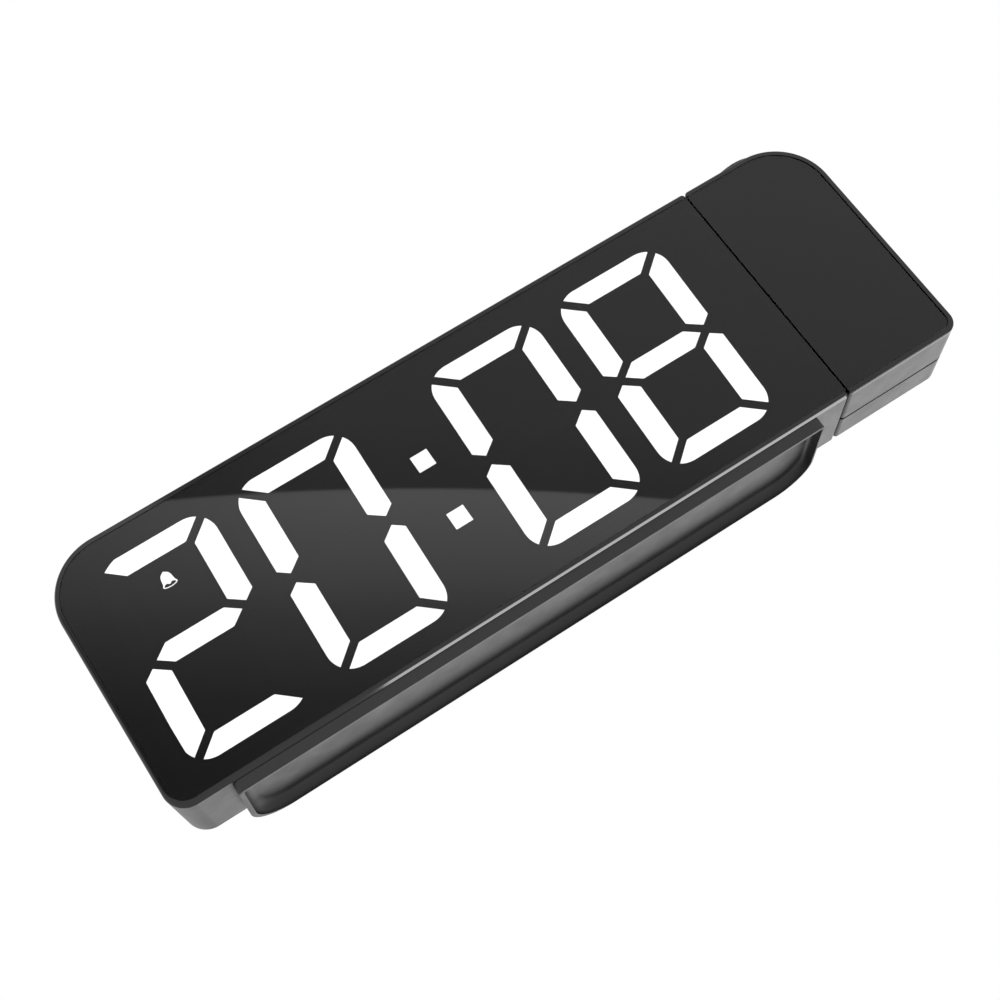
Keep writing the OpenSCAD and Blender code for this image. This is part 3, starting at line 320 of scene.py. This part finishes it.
MAT = {
    "housing": plastic("housing_plastic", 0.022, 0.028, (0.36, 0.44), polished=True),
    # The foot is painted darker than the housing as shade in its cavity, and paler on its front wall as light
    # falling there
    "foot_plastic": plastic("foot_plastic", 0.009, 0.012, (0.36, 0.46), level=0.4, painted_light_front_tone=0.022),
    "smoked_panel": smoked_glass("smoked_acrylic"),
    "printed_panel": smoked_glass("smoked_printed_acrylic", printed=True),
    "black_foam": plastic("black_foam", 0.002, 0.004, (0.85, 0.95), 0.0, level=0.0),
    "black_film": plastic("black_film", 0.002, 0.004, (0.8, 0.9), 0.0, level=0.0),
    "white_plastic": plastic("white_plastic", 0.78, 0.84, (0.4, 0.55)),
    "segment_on": glowing("lit_filler", 11.5),
    "segment_off": plastic("unlit_filler", 0.004, 0.007, (0.5, 0.65)),
    "circuit_board": board("solder_mask"),
    "led_chip": plastic("led_phosphor", 0.75, 0.85, (0.15, 0.25), tint=(1.0, 0.85, 0.35)),
    "screw_steel": metal("zinc_steel", 0.42, 0.5),
    "black_component": plastic("black_component", 0.016, 0.024, (0.45, 0.6)),
    "tinned_metal": metal("nickel_plate", 0.58, 0.66, (0.2, 0.32), (1.0, 0.97, 0.92)),
    "contact_metal": metal("gold_pins", 0.7, 0.8, (0.2, 0.3), (1.0, 0.76, 0.35)),
    "button_plastic": plastic("button_plastic", 0.02, 0.028, (0.42, 0.52)),
    "cell_sleeve": plastic("cell_sleeve", 0.16, 0.2, (0.3, 0.4), tint=(0.5, 1.0, 0.9)),
    "bush_plastic": plastic("bush_plastic", 0.72, 0.78, (0.4, 0.5), tint=(1.0, 0.97, 0.9)),
    "washer_steel": metal("spring_steel", 0.45, 0.52, (0.28, 0.4)),
    "shaft_aluminium": metal("turned_aluminium", 0.66, 0.74, (0.3, 0.42), stretch=(6, 1, 1)),
    "lead_sleeve": plastic("lead_sleeve", 0.012, 0.02, (0.5, 0.6)),
    "ring_plastic": plastic("ring_plastic", 0.012, 0.017, (0.55, 0.65), level=0.3),
    "clear_lens": clear_lens("lens_glass"),
    "slide_glass": smoked_glass("slide_glass"),
}
SLOT_OF = {s["node"]: s["material_slot"] for s in frame["record"]["subparts"]}


def paint(obj, slot_name):
    obj.data.materials.clear()
    obj.data.materials.append(MAT[slot_name])


for node_name, node_obj in NODES.items():
    if len(node_obj.data.materials):
        for i in range(len(node_obj.data.materials)):
            node_obj.data.materials[i] = MAT[SLOT_OF[node_name]]
    else:
        node_obj.data.materials.append(MAT[SLOT_OF[node_name]])


# ---------------------------------------------------------------- mesh helpers

# Points closer than this are one, in metres
SAME_POINT = 2e-7
# Faces of a CAD mesh within this angle are one flat face, in degrees
FLAT = 0.6


def place(name, data):
    """A new object in the scene."""
    obj = bpy.data.objects.new(name, data)
    bpy.context.scene.collection.objects.link(obj)
    return obj


def link(name, mesh, slot_name, body, *replaced):
    """A new piece that rides on a body and stands for the replaced CAD nodes."""
    obj = place(name, mesh)
    paint(obj, slot_name)
    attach(obj, body)
    if replaced:
        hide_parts(*replaced)
    return obj


def to_mesh(bm, name):
    """A new mesh from a bmesh, which is freed."""
    mesh = bpy.data.meshes.new(name)
    bm.to_mesh(mesh)
    bm.free()
    return mesh


def evaluated(obj):
    """The mesh of an object with its modifiers applied."""
    graph = bpy.context.evaluated_depsgraph_get()
    return bpy.data.meshes.new_from_object(obj.evaluated_get(graph))


def shade(obj, angle=32.0):
    """Smooth shading that keeps edges sharper than the angle, in degrees."""
    bm = bmesh.new()
    bm.from_mesh(obj.data)
    for f in bm.faces:
        f.smooth = True
    for e in bm.edges:
        e.smooth = len(e.link_faces) == 2 and e.calc_face_angle(3.2) < math.radians(angle)
    bm.to_mesh(obj.data)
    bm.free()
    wn = obj.modifiers.new("even_normals", "WEIGHTED_NORMAL")
    wn.keep_sharp = True


def arc(n, a0, a1):
    """The angles of n equal steps between two angles in degrees, in radians."""
    return [math.radians(a0 + (a1 - a0) * i / n) for i in range(n + 1)]


def outline(x0, x1, z0, z1, radii, steps):
    """Rounded rectangle as (x, z) points, with radii at top left, top right, bottom right, bottom left."""
    tl, tr, br, bl = radii
    points = []
    for cx, cz, r, a0 in (
        (x1 - tr, z1 - tr, tr, 0), (x0 + tl, z1 - tl, tl, 90),
        (x0 + bl, z0 + bl, bl, 180), (x1 - br, z0 + br, br, 270),
    ):
        points += [(cx + r * math.cos(a), cz + r * math.sin(a)) for a in arc(steps, a0, a0 + 90)]
    return points


def y_ring(points, depth):
    return [Vector((x, FRONT_Y + depth, z)) * MM for x, z in points]


def loft(name, rings):
    """Closed mesh through rings of equal length."""
    bm = bmesh.new()
    rows = [[bm.verts.new(p) for p in ring] for ring in rings]
    n = len(rings[0])
    for a, b in zip(rows, rows[1:]):
        for i in range(n):
            bm.faces.new((a[i], a[(i + 1) % n], b[(i + 1) % n], b[i]))
    bm.faces.new(rows[0][::-1])
    bm.faces.new(rows[-1])
    bmesh.ops.remove_doubles(bm, verts=bm.verts, dist=1e-8)
    bmesh.ops.recalc_face_normals(bm, faces=bm.faces)
    return to_mesh(bm, name)


def merge_flat(bm):
    """Joins the triangles of each flat face."""
    bmesh.ops.dissolve_limit(bm, angle_limit=math.radians(FLAT), verts=bm.verts, edges=bm.edges)


def rounded_copy(name, node, body, slot_name, width, segments, limit=50.0):
    """A copy of a CAD node whose edges sharper than the limit, in degrees, are rounded."""
    bm = bmesh.new()
    bm.from_mesh(NODES[node].data)
    bmesh.ops.remove_doubles(bm, verts=bm.verts, dist=SAME_POINT)
    merge_flat(bm)
    edges = [
        e for e in bm.edges
        if len(e.link_faces) == 2 and e.calc_face_angle(0) > math.radians(limit)
    ]
    bmesh.ops.bevel(
        bm, geom=edges, offset=width * MM, offset_type="OFFSET", segments=segments, profile=0.5,
        affect="EDGES", clamp_overlap=True)
    obj = link(name, to_mesh(bm, name), slot_name, body, node)
    shade(obj)
    return obj


# ---------------------------------------------------------------- casing

def inset_outline(lo, hi, corners, side, seam, low, far):
    """Outline moved in by side, by low at the bottom, by seam at the seam and by far at the left end.

    corners says whether the left and the right end are a "seam" or a "side", and gives the four radii."""
    left, right, radii = corners
    x0 = lo.x + (seam if left == "seam" else far)
    x1 = hi.x - (seam if right == "seam" else side)
    r = [max(c - (seam if c < 1.0 else side), 0.06) for c in radii]
    return outline(x0, x1, lo.z + low, hi.z - side, r, 20)


def curve_in(depth, radius):
    """How far a quarter round has still to go outwards at a depth, from 1 on the face to 0 at its radius."""
    return 1 - math.sqrt(1 - (1 - min(depth / radius, 1)) ** 2)


def low_in(depth, radius, start, end):
    """How far an arc that leaves the face with the slope start has still to fall, until its slope is end."""
    a = math.asin(max(math.sin(math.radians(start)) - depth / radius, math.sin(math.radians(end))))
    return radius * (math.cos(math.radians(end)) - math.cos(a))


def fillet_path(points, radius, steps):
    """Points of an open path with its inner corners rounded."""
    out = [points[0]]
    for a, b, c in zip(points, points[1:], points[2:]):
        u = Vector((a[0] - b[0], a[1] - b[1])).normalized()
        v = Vector((c[0] - b[0], c[1] - b[1])).normalized()
        half = math.acos(max(-1, min(1, u.dot(v)))) / 2
        t = radius / math.tan(half)
        centre = Vector(b) + (u + v).normalized() * (radius / math.sin(half))
        p0 = Vector(b) + u * t - centre
        p1 = Vector(b) + v * t - centre
        a0 = math.atan2(p0.y, p0.x)
        turn = (math.atan2(p1.y, p1.x) - a0 + math.pi) % (2 * math.pi) - math.pi
        for i in range(steps + 1):
            g = a0 + turn * i / steps
            out.append((centre.x + radius * math.cos(g), centre.y + radius * math.sin(g)))
    out.append(points[-1])
    return out


def envelope(lo, hi, corners, front, rear, low_edge=BODY_LOW, taper=0.0):
    """Rings of the rounded outer skin of a casing, slightly inside the CAD surface.

    front is "face" (rounded) or "split", and rear is "chamfer" (bevelled) or "split" (with the groove)."""
    rings = []

    def ring(side, seam, depth, low=None, far=None):
        low = side if low is None else low
        far = side if far is None else far
        rings.append(y_ring(inset_outline(
            lo, hi, corners, side + SKIN_IN, seam + SKIN_IN, low + SKIN_IN, far + SKIN_IN), depth))

    first = lo.y - FRONT_Y
    last = hi.y - FRONT_Y
    if front == "face":
        for a in arc(12, 90, 0):
            depth = POLISH * (1 - math.sin(a))
            k = curve_in(depth, EDGE_R)
            ring(EDGE_SIDE * k, SOFT_R * k, 0.01 + depth, low_in(depth, *low_edge),
                 EDGE_FAR * curve_in(depth, POLISH))
    else:
        for a in arc(4, 90, 0):
            k = SOFT_R * (1 - math.cos(a))
            ring(k, k, first + SKIN_IN + SOFT_R * (1 - math.sin(a)))
    if rear == "split":
        for a in arc(4, 0, 90):
            k = SOFT_R * (1 - math.cos(a))
            ring(k, k, last - SPLIT_GAP - SOFT_R * (1 - math.sin(a)))
        ring(SPLIT_DEEP, SPLIT_DEEP, last - SPLIT_GAP)
        ring(SPLIT_DEEP, SPLIT_DEEP, last - SKIN_IN)
    else:
        path = fillet_path(
            [(0.0, last - 6.0), (0.0, last - REAR_BEVEL), (REAR_BEVEL, last), (7.0, last)], REAR_ROUND, 5)
        for side, depth in path[1:-1]:
            ring(side, min(side, SOFT_R + side * 0.12), depth - 0.01, None, side + taper)
    return rings


def block(name, lo, hi):
    """Block between two corners, used as a cutter."""
    bm = bmesh.new()
    bmesh.ops.create_cube(bm, size=1.0)
    for v in bm.verts:
        v.co = Vector([(lo[i] + hi[i]) / 2 + v.co[i] * (hi[i] - lo[i]) for i in range(3)]) * MM
    return to_mesh(bm, name)


def tighten_corner(bm, hi, lo, wide, tight):
    """Moves the lower right-hand corner out from the radius wide to the radius tight."""
    cx, cz, m = hi.x - wide, lo.z + wide, wide - tight
    for v in bm.verts:
        dx, dz = v.co.x / MM - cx, cz - v.co.z / MM
        if dx <= 0 or dz <= 0:
            continue
        u = Vector((dx, dz)).normalized()
        reach = wide / max(u)
        if reach * min(u) > m:
            both = m * (u.x + u.y)
            reach = both + math.sqrt(both * both - 2 * m * m + tight * tight)
        v.co.x = (cx + dx * reach / wide) * MM
        v.co.z = (cz - dz * reach / wide) * MM


def skinned_copy(name, node, body, slot_name, rings, cut=None, tight=False):
    """A copy of a CAD node whose outside is the smooth envelope, less the block cut.

    tight first moves the head's lower corner out past the envelope's."""
    bm = bmesh.new()
    bm.from_mesh(NODES[node].data)
    bmesh.ops.remove_doubles(bm, verts=bm.verts, dist=SAME_POINT)
    if tight:
        tighten_corner(bm, HEAD_HI, HEAD_LO, LOW_R, HEAD_LOW_R - 0.2)
    merge_flat(bm)
    obj = link(name, to_mesh(bm, name), slot_name, body, node)
    tools = [("INTERSECT", place(name + "_skin", loft(name + "_skin", rings)))]
    if cut:
        tools.append(("DIFFERENCE", place(name + "_cutter", block(name + "_cutter", *cut))))
    for operation, tool in tools:
        mod = obj.modifiers.new(operation.lower(), "BOOLEAN")
        mod.operation = operation
        mod.solver = "EXACT"
        mod.object = tool
    done = evaluated(obj)
    obj.modifiers.clear()
    obj.data = done
    paint(obj, slot_name)
    for _, tool in tools:
        bpy.data.objects.remove(tool)
    bm = bmesh.new()
    bm.from_mesh(done)
    bmesh.ops.remove_doubles(bm, verts=bm.verts, dist=SAME_POINT)
    bmesh.ops.dissolve_degenerate(bm, dist=1e-7, edges=bm.edges)
    bm.to_mesh(done)
    bm.free()
    shade(obj)
    return obj


BODY_CORNERS = ("side", "seam", (TOP_R, SEAM_R, SEAM_R, LOW_R))
HEAD_CORNERS = ("seam", "side", (SEAM_R, TOP_R, HEAD_LOW_R, SEAM_R))
# Strip of the rim that is taken away at the seam, so that the panels run up to it
STRIP_W = 0.7
STRIP_Y = (FRONT_Y - 1, FRONT_Y + 1.56)
STRIP_Z = (HOUSE_LO.z + RIM_W, HOUSE_HI.z - RIM_W)
housing = skinned_copy(
    "body_casing", "main_housing", "clock", "housing",
    envelope(HOUSE_LO, HOUSE_HI, BODY_CORNERS, "face", "chamfer", taper=BODY_TAPER),
    ((HOUSE_HI.x - STRIP_W, STRIP_Y[0], STRIP_Z[0]), (HOUSE_HI.x + 1, STRIP_Y[1], STRIP_Z[1])))
head_front = skinned_copy(
    "head_front_casing", "head_front_shell", "projector_head", "housing",
    envelope(HEAD_LO, HEAD_HI, HEAD_CORNERS, "face", "split", HEAD_LOW),
    ((HEAD_LO.x - 1, STRIP_Y[0], STRIP_Z[0]), (HEAD_LO.x + STRIP_W, STRIP_Y[1], STRIP_Z[1])), True)
head_rear = skinned_copy(
    "head_rear_casing", "head_rear_shell", "projector_head", "housing",
    envelope(REAR_LO, REAR_HI, HEAD_CORNERS, "split", "chamfer"), tight=True)


# ---------------------------------------------------------------- panels

# Depth of a panel's rings, and how far each is moved in for the polished chamfers
PANEL_RINGS = ((0.1, 0.07), (0.12, 0.02), (0.17, 0.0), (1.45, 0.0), (1.55, 0.1))
SEAM_PLAY = 0.03


def panel(name, node, body, x0, x1, corners):
    """Smoked panel with polished chamfers along its edges."""
    rings = []
    for depth, side in PANEL_RINGS:
        r = [max(c - side, 0.1) for c in corners]
        rings.append(y_ring(outline(
            x0 + side, x1 - side, HOUSE_LO.z + PANEL_IN + side, HOUSE_HI.z - PANEL_IN - side, r, 20), depth))
    obj = link(name, loft(name, rings), "smoked_panel", body, node)
    shade(obj)
    return obj


panel("front_glass", "front_panel", "clock", HOUSE_LO.x + PANEL_IN, HOUSE_HI.x - SEAM_PLAY,
      (TOP_R - PANEL_IN, 0.1, 0.1, LOW_R - PANEL_IN))
head_glass = panel(
    "head_glass", "head_panel", "projector_head", HEAD_LO.x + SEAM_PLAY, HEAD_HI.x - PANEL_IN - 0.2,
    (0.1, TOP_R - PANEL_IN, HEAD_LOW_R - PANEL_IN, 0.1))
paint(head_glass, "printed_panel")


# ---------------------------------------------------------------- bell and tape

def plate(name, points, holes, front, back, slot_name, body, *replaced):
    """Flat plate between two depths, from its outline and the outlines of its holes."""
    curve = bpy.data.curves.new(name, "CURVE")
    curve.dimensions = "2D"
    curve.fill_mode = "BOTH"
    curve.extrude = (back - front) / 2 * MM
    for loop in (points, *holes):
        spline = curve.splines.new("POLY")
        spline.points.add(len(loop) - 1)
        for point, (x, z) in zip(spline.points, loop):
            point.co = (x * MM, z * MM, 0, 1)
        spline.use_cyclic_u = True
    flat = place(name + "_curve", curve)
    mesh = evaluated(flat)
    bpy.data.objects.remove(flat)
    mesh.name = name
    middle = FRONT_Y + (front + back) / 2
    mesh.transform(Matrix(((1, 0, 0, 0), (0, 0, 1, middle * MM), (0, 1, 0, 0), (0, 0, 0, 1))))
    bm = bmesh.new()
    bm.from_mesh(mesh)
    bmesh.ops.remove_doubles(bm, verts=bm.verts, dist=1e-7)
    bmesh.ops.recalc_face_normals(bm, faces=bm.faces)
    bm.to_mesh(mesh)
    bm.free()
    return link(name, mesh, slot_name, body, *replaced)


BELL_X = BELL_LO.x / 2 + BELL_HI.x / 2
BELL_Z = BELL_LO.z
BELL_SCALE = 0.95
BELL_UP = 0.4
# Right-hand side of the bell from its lip up, and its clapper within the mouth
BELL_SIDE = [(1.72, -0.06), (1.66, 0.16), (1.46, 0.42), (1.38, 0.9), (1.3, 1.5), (1.22, 2.0), (1.06, 2.42),
             (0.84, 2.74), (0.5, 2.98), (0.26, 3.08), (0.14, 3.26)]
BELL_MOUTH = [(1.1, 0.32), (0.75, 0.42), (0.45, 0.4), (0.3, 0.2), (0.12, 0.1), (-0.12, 0.1), (-0.3, 0.2),
              (-0.45, 0.4), (-0.75, 0.42), (-1.1, 0.32)]


def lower_arc(cz, rx, rz, n):
    """Lower half of an ellipse about the bell's axis."""
    return [(rx * math.cos(a), cz + rz * math.sin(a)) for a in arc(n, 180, 360)]


def on_face(loop):
    return [(BELL_X + BELL_SCALE * x, BELL_Z + BELL_UP + BELL_SCALE * z) for x, z in loop]


def bell():
    """Small bell with a flared lip, an open mouth and its clapper, in front of its black window."""
    left = [(-x, z) for x, z in BELL_SIDE[::-1]][:-1]
    shape = BELL_SIDE + left + lower_arc(-0.06, 1.72, 0.56, 18)[:-1]
    mouth = lower_arc(-0.02, 1.46, 0.42, 14) + BELL_MOUTH
    plate("bell_mark", on_face(shape), [on_face(mouth[::-1])], 1.575, 1.6, "segment_on", "clock", "bell_icon")
    window = outline(BELL_X - 2.0, BELL_X + 2.0, BELL_Z - 0.35, BELL_Z + 4.15, (1, 1, 0.4, 0.4), 6)
    plate("bell_film", window, [], 1.62, 1.74, "black_film", "clock")


bell()

# Corners of the tape's opening, and how far its outside lies within the housing
FILM_R = 10.7
TAPE_IN = 1.7
tape_outside = outline(
    HOUSE_LO.x + TAPE_IN, HOUSE_HI.x - 0.9, HOUSE_LO.z + TAPE_IN, HOUSE_HI.z - TAPE_IN,
    (TOP_R - TAPE_IN, 0.5, 0.5, LOW_R - TAPE_IN), 14)
tape_inside = outline(FILM_LO.x, FILM_HI.x, FILM_LO.z, FILM_HI.z, (FILM_R, 1, 1, 2), 16)
plate("tape_frame", tape_outside, [tape_inside[::-1]], 1.62, 1.78, "black_foam", "clock", "panel_tape")


# ---------------------------------------------------------------- foot

FOOT_X0 = FOOT_LO.x + 0.4
FOOT_X1 = FOOT_HI.x - 0.6
FOOT_R = 9.0
FOOT_FRONT_R = 1.0
# Height of the foot below the body, how far its front wall leans forward there, and the cavity's height
FOOT_SHOWN = 2.4
LEAN = 0.7
CEILING = 2.55
# Height and inset of the foot's outside, from its hidden top down to the floor
FOOT_OUTSIDE = (
    (7.6, 1.1), (7.5, 0.85), (7.2, 0.72), (2.45, 0.72), (2.4, 0.68), (2.38, 0.1),
    (2.3, 0.02), (2.1, 0.0), (0.06, 0.0), (0.02, 0.02), (0.0, 0.06))


def foot_ring(z, front, end, back, far=None):
    """Level ring of the foot, moved in by front, end and back on its sides, and by far at its left end."""
    far = end if far is None else far
    r_back = max(FOOT_R - max(end, back) * 0.8, 0.6)
    r_front = max(FOOT_FRONT_R - front, 0.3)
    points = outline(FOOT_X0 + far, FOOT_X1 - end, FOOT_LO.y + front, FOOT_HI.y - back,
                     (r_back, r_back, r_front, r_front), 16)
    return [Vector((x, y, z)) * MM for x, y in points]


def foot():
    """Low foot with a thin rim around a dished cavity, which rises from the rear edge to its ceiling."""
    rings = []
    for z, inset in FOOT_OUTSIDE:
        lean = LEAN * z / FOOT_SHOWN if z < FOOT_SHOWN else 0
        rings.append(foot_ring(z, inset - lean, inset, inset))
    rings.append(foot_ring(0.0, 0.9, 0.36, 0.15, 1.0))
    for a in arc(14, 0, 90):
        k = 1 - math.cos(a)
        z = 0.02 + (CEILING - 0.02) * math.sin(a)
        rings.append(foot_ring(z, 1.0 + 1.2 * k, 0.42 + 1.0 * k * k, 0.2 + 2.1 * k, 1.1 + 2.4 * k))
    shade(link("foot_shell", loft("foot_shell", rings), "foot_plastic", "clock", "foot"))


foot()


# ---------------------------------------------------------------- rear and top controls

for label in ("set", "up", "down", "alarm"):
    rounded_copy(label + "_key", label + "_button", label, "button_plastic", 0.2, 3)
rounded_copy("snooze_key", "snooze_bar", "snooze", "button_plastic", 0.3, 4)
rounded_copy("door_cover", "battery_door", "door", "housing", 0.12, 2)
rounded_copy("focus_grip", "focus_ring", "focus", "ring_plastic", 0.1, 2)


# ---------------------------------------------------------------- camera

# The photograph's camera, solved from the body's corners and edges: its place in metres and its axes
EYE = Vector((-82.10926, -340.04553, -98.38340)) * MM
RIGHT = Vector((0.83528265, 0.01521959, -0.54961010))
DOWN = Vector((-0.50902282, 0.39928029, -0.76254247))
AHEAD = Vector((0.20784290, 0.91670258, 0.34125901))
LENS = 62.480
SENSOR = 36.0


def make_camera():
    data = bpy.data.cameras.new("camera")
    data.sensor_width = SENSOR
    data.sensor_fit = "HORIZONTAL"
    data.lens = LENS
    data.clip_start = 0.01
    data.clip_end = 50.0
    cam = place("camera", data)
    rows = [(RIGHT[i], -DOWN[i], -AHEAD[i], EYE[i]) for i in range(3)]
    cam.matrix_world = Matrix((*rows, (0, 0, 0, 1)))
    bpy.context.scene.camera = cam


# ---------------------------------------------------------------- floor, world, light

SKY = 0.85
# Radius of the floor in metres, and the parts of it between which it fades into the world
FLOOR_R = 1.4
FLOOR_FADE = (0.45, 0.95)
FLOOR_DROP = 0.00003


def seen_by(tree, *outputs):
    """1 for rays of the named kinds, otherwise 0."""
    path = add(tree, "ShaderNodeLightPath")
    value = path.outputs[outputs[0]]
    for name in outputs[1:]:
        value = maths(tree, "MAXIMUM", value, path.outputs[name])
    return value


def mixed(tree, fac, a, b, out):
    """Feeds the output with a mix of two shaders."""
    mix = add(tree, "ShaderNodeMixShader")
    tree.links.new(fac, mix.inputs[0])
    tree.links.new(a.outputs[0], mix.inputs[1])
    tree.links.new(b.outputs[0], mix.inputs[2])
    tree.links.new(mix.outputs[0], out.inputs["Surface"])


def make_world():
    """Even white studio, a little darker as a light than as a background."""
    world = bpy.data.worlds.new("studio")
    bpy.context.scene.world = world
    world.use_nodes = True
    tree = world.node_tree
    tree.nodes.clear()
    out = tree.nodes.new("ShaderNodeOutputWorld")
    shaders = []
    for strength in (SKY, 1.0):
        shader = add(tree, "ShaderNodeBackground")
        shader.inputs["Color"].default_value = (1, 1, 1, 1)
        shader.inputs["Strength"].default_value = strength
        shaders.append(shader)
    mixed(tree, seen_by(tree, "Is Camera Ray", "Is Glossy Ray", "Is Transmission Ray"), *shaders, out)


def make_floor():
    """Pale floor: seen with its shadows from above, and clear from below and for the light."""
    bm = bmesh.new()
    bmesh.ops.create_circle(bm, cap_ends=True, segments=96, radius=FLOOR_R)
    for f in bm.faces:
        if f.normal.z < 0:
            f.normal_flip()
    mesh = to_mesh(bm, "floor")
    mat, tree, out = new_material("floor_paper")
    diffuse = add(tree, "ShaderNodeBsdfDiffuse")
    vec = coords(tree)
    tree.links.new(tones(tree, noise(tree, vec, 6.0, 2.0), 0.90, 0.93), diffuse.inputs["Color"])
    clear = add(tree, "ShaderNodeBsdfTransparent")
    facing = add(tree, "ShaderNodeNewGeometry")
    front = add(tree, "ShaderNodeMath", operation="SUBTRACT")
    front.inputs[0].default_value = 1.0
    tree.links.new(facing.outputs["Backfacing"], front.inputs[1])
    length = add(tree, "ShaderNodeVectorMath", operation="LENGTH")
    tree.links.new(vec, length.inputs[0])
    fade = to_range(
        tree, length.outputs["Value"], FLOOR_R * FLOOR_FADE[0], FLOOR_R * FLOOR_FADE[1], 1.0, 0.0)
    seen = maths(tree, "MULTIPLY", seen_by(tree, "Is Camera Ray"), front.outputs[0])
    mixed(tree, maths(tree, "MULTIPLY", seen, fade), clear, diffuse, out)
    floor = place("floor", mesh)
    floor.location = (0, 0, -FLOOR_DROP)
    mesh.materials.append(mat)


def lamp(name, where, target, length, width, radiance):
    """Soft lamp of a given radiance, long in X, that the camera doesn't see; its lengths are in metres."""
    data = bpy.data.lights.new(name, "AREA")
    data.shape = "RECTANGLE"
    data.size = length
    data.size_y = width
    data.energy = radiance * math.pi * length * width
    obj = place(name, data)
    obj.location = where
    obj.rotation_euler = (Vector(target) - Vector(where)).to_track_quat("-Z", "Y").to_euler()
    obj.visible_camera = False
    return obj


# The card is laid out on the clock's face, where the photograph shows its reflection. CARD_REACH times as far
# from the mirrored camera, it stands where that camera sees it in the face.
GLASS_Y = (FRONT_Y + 0.1) * MM
MIRROR_EYE = Vector((EYE.x, 2 * GLASS_Y - EYE.y, EYE.z))
CARD_REACH = 2.7
# Ends of the reflected edge on the face, and the card's size from the edge's middle: along, above and below it
EDGE_FROM = (-65.0, 60.9)
EDGE_TO = (20.0, 4.4)
CARD_ALONG, CARD_ABOVE, CARD_BELOW = 190, 110, 95
CARD_GRID = (24, 16)
# The edge rises at its middle by the first length, against its ends at the second length
EDGE_BEND = 2.6
EDGE_HALF = 52
# Radiance at distances below the edge
CARD_TONES = (
    (58, 0.33), (44, 0.5), (36, 0.72), (27, 1.05), (19, 1.53), (8.4, 1.97), (2.7, 2.2), (0.4, 2.2),
    (0.0, 0.64), (-3, 0.67), (-8, 0.72), (-16, 0.84), (-28, 0.87), (-38, 0.94), (-60, 1.02), (-75, 1.1))
CARD_TOP = 2.3
# Places along the edge between which the card reaches its full radiance, and the part of it before them
CARD_DIM = (-76, -16)
CARD_DIM_PART = 0.66


def card_point(x, z):
    """Where the photograph's camera sees a point of the card reflected at (x, z) of the face."""
    p = Vector((x * MM, GLASS_Y, z * MM))
    return MIRROR_EYE + (p - MIRROR_EYE) * CARD_REACH


def make_card():
    """Graded studio wall in front of the clock, seen only in reflections."""
    a = card_point(*EDGE_FROM)
    b = card_point(*EDGE_TO)
    along = (b - a).normalized()
    up = Vector((along.z, 0, -along.x))
    if up.z < 0:
        up = -up
    unit = CARD_REACH * MM
    span = CARD_ABOVE + CARD_BELOW
    nx, ny = CARD_GRID
    bm = bmesh.new()
    rows = []
    for j in range(ny + 1):
        v = -CARD_BELOW + span * j / ny
        rows.append([
            bm.verts.new(((CARD_ALONG * (2 * i / nx - 1)) * unit, v * unit, 0)) for i in range(nx + 1)])
    for j in range(ny):
        for i in range(nx):
            bm.faces.new((rows[j][i], rows[j][i + 1], rows[j + 1][i + 1], rows[j + 1][i]))
    mesh = to_mesh(bm, "wall_card")
    mat, tree, out = new_material("wall_card")
    tc = add(tree, "ShaderNodeTexCoord")
    sep = add(tree, "ShaderNodeSeparateXYZ")
    tree.links.new(tc.outputs["Object"], sep.inputs[0])
    curve = add(tree, "ShaderNodeMath", operation="MULTIPLY_ADD")
    tree.links.new(maths(tree, "MULTIPLY", sep.outputs["X"], sep.outputs["X"]), curve.inputs[0])
    curve.inputs[1].default_value = EDGE_BEND * unit / (EDGE_HALF * unit) ** 2
    tree.links.new(sep.outputs["Y"], curve.inputs[2])
    position = to_range(
        tree, curve.outputs[0], (-CARD_BELOW + EDGE_BEND) * unit, (CARD_ABOVE + EDGE_BEND) * unit, 0.0, 1.0)
    tone = ramp(tree, position, [((CARD_BELOW - d) / span, grey(v / CARD_TOP)) for d, v in CARD_TONES])
    strength = to_range(
        tree, sep.outputs["X"], CARD_DIM[0] * unit, CARD_DIM[1] * unit, CARD_DIM_PART * CARD_TOP, CARD_TOP)
    glow = add(tree, "ShaderNodeEmission")
    tree.links.new(tone, glow.inputs["Color"])
    tree.links.new(strength, glow.inputs["Strength"])
    tree.links.new(glow.outputs[0], out.inputs["Surface"])
    card = place("wall_card", mesh)
    basis = Matrix((along, up, along.cross(up))).transposed()
    card.matrix_world = Matrix.Translation((a + b) / 2) @ basis.to_4x4()
    mesh.materials.append(mat)
    for key in ("camera", "diffuse", "transmission", "volume_scatter", "shadow"):
        setattr(card, "visible_" + key, False)


def make_edge_lamp():
    """Strip lamp below the clock, which only the lower edges of the casings reflect."""
    casings = bpy.data.collections.new("edge_lit")
    for casing in (housing, head_front, head_rear):
        casings.objects.link(casing)
    strip = lamp("edge_strip", (0.335, -0.16, -0.785), (0.335, -0.014, 0.002), 0.61, 0.3, 9.0)
    strip.visible_diffuse = False
    strip.light_linking.receiver_collection = casings


make_camera()
make_world()
make_floor()
make_card()
lamp("soft_top", (0.3, -0.25, 0.9), (0, 0, 0.03), 0.7, 0.7, 1.0)
lamp("soft_low", (0.18, 0.55, -0.22), (0, 0, 0.0), 0.6, 0.6, 0.68)
make_edge_lamp()

bpy.context.scene.view_settings.view_transform = "Standard"
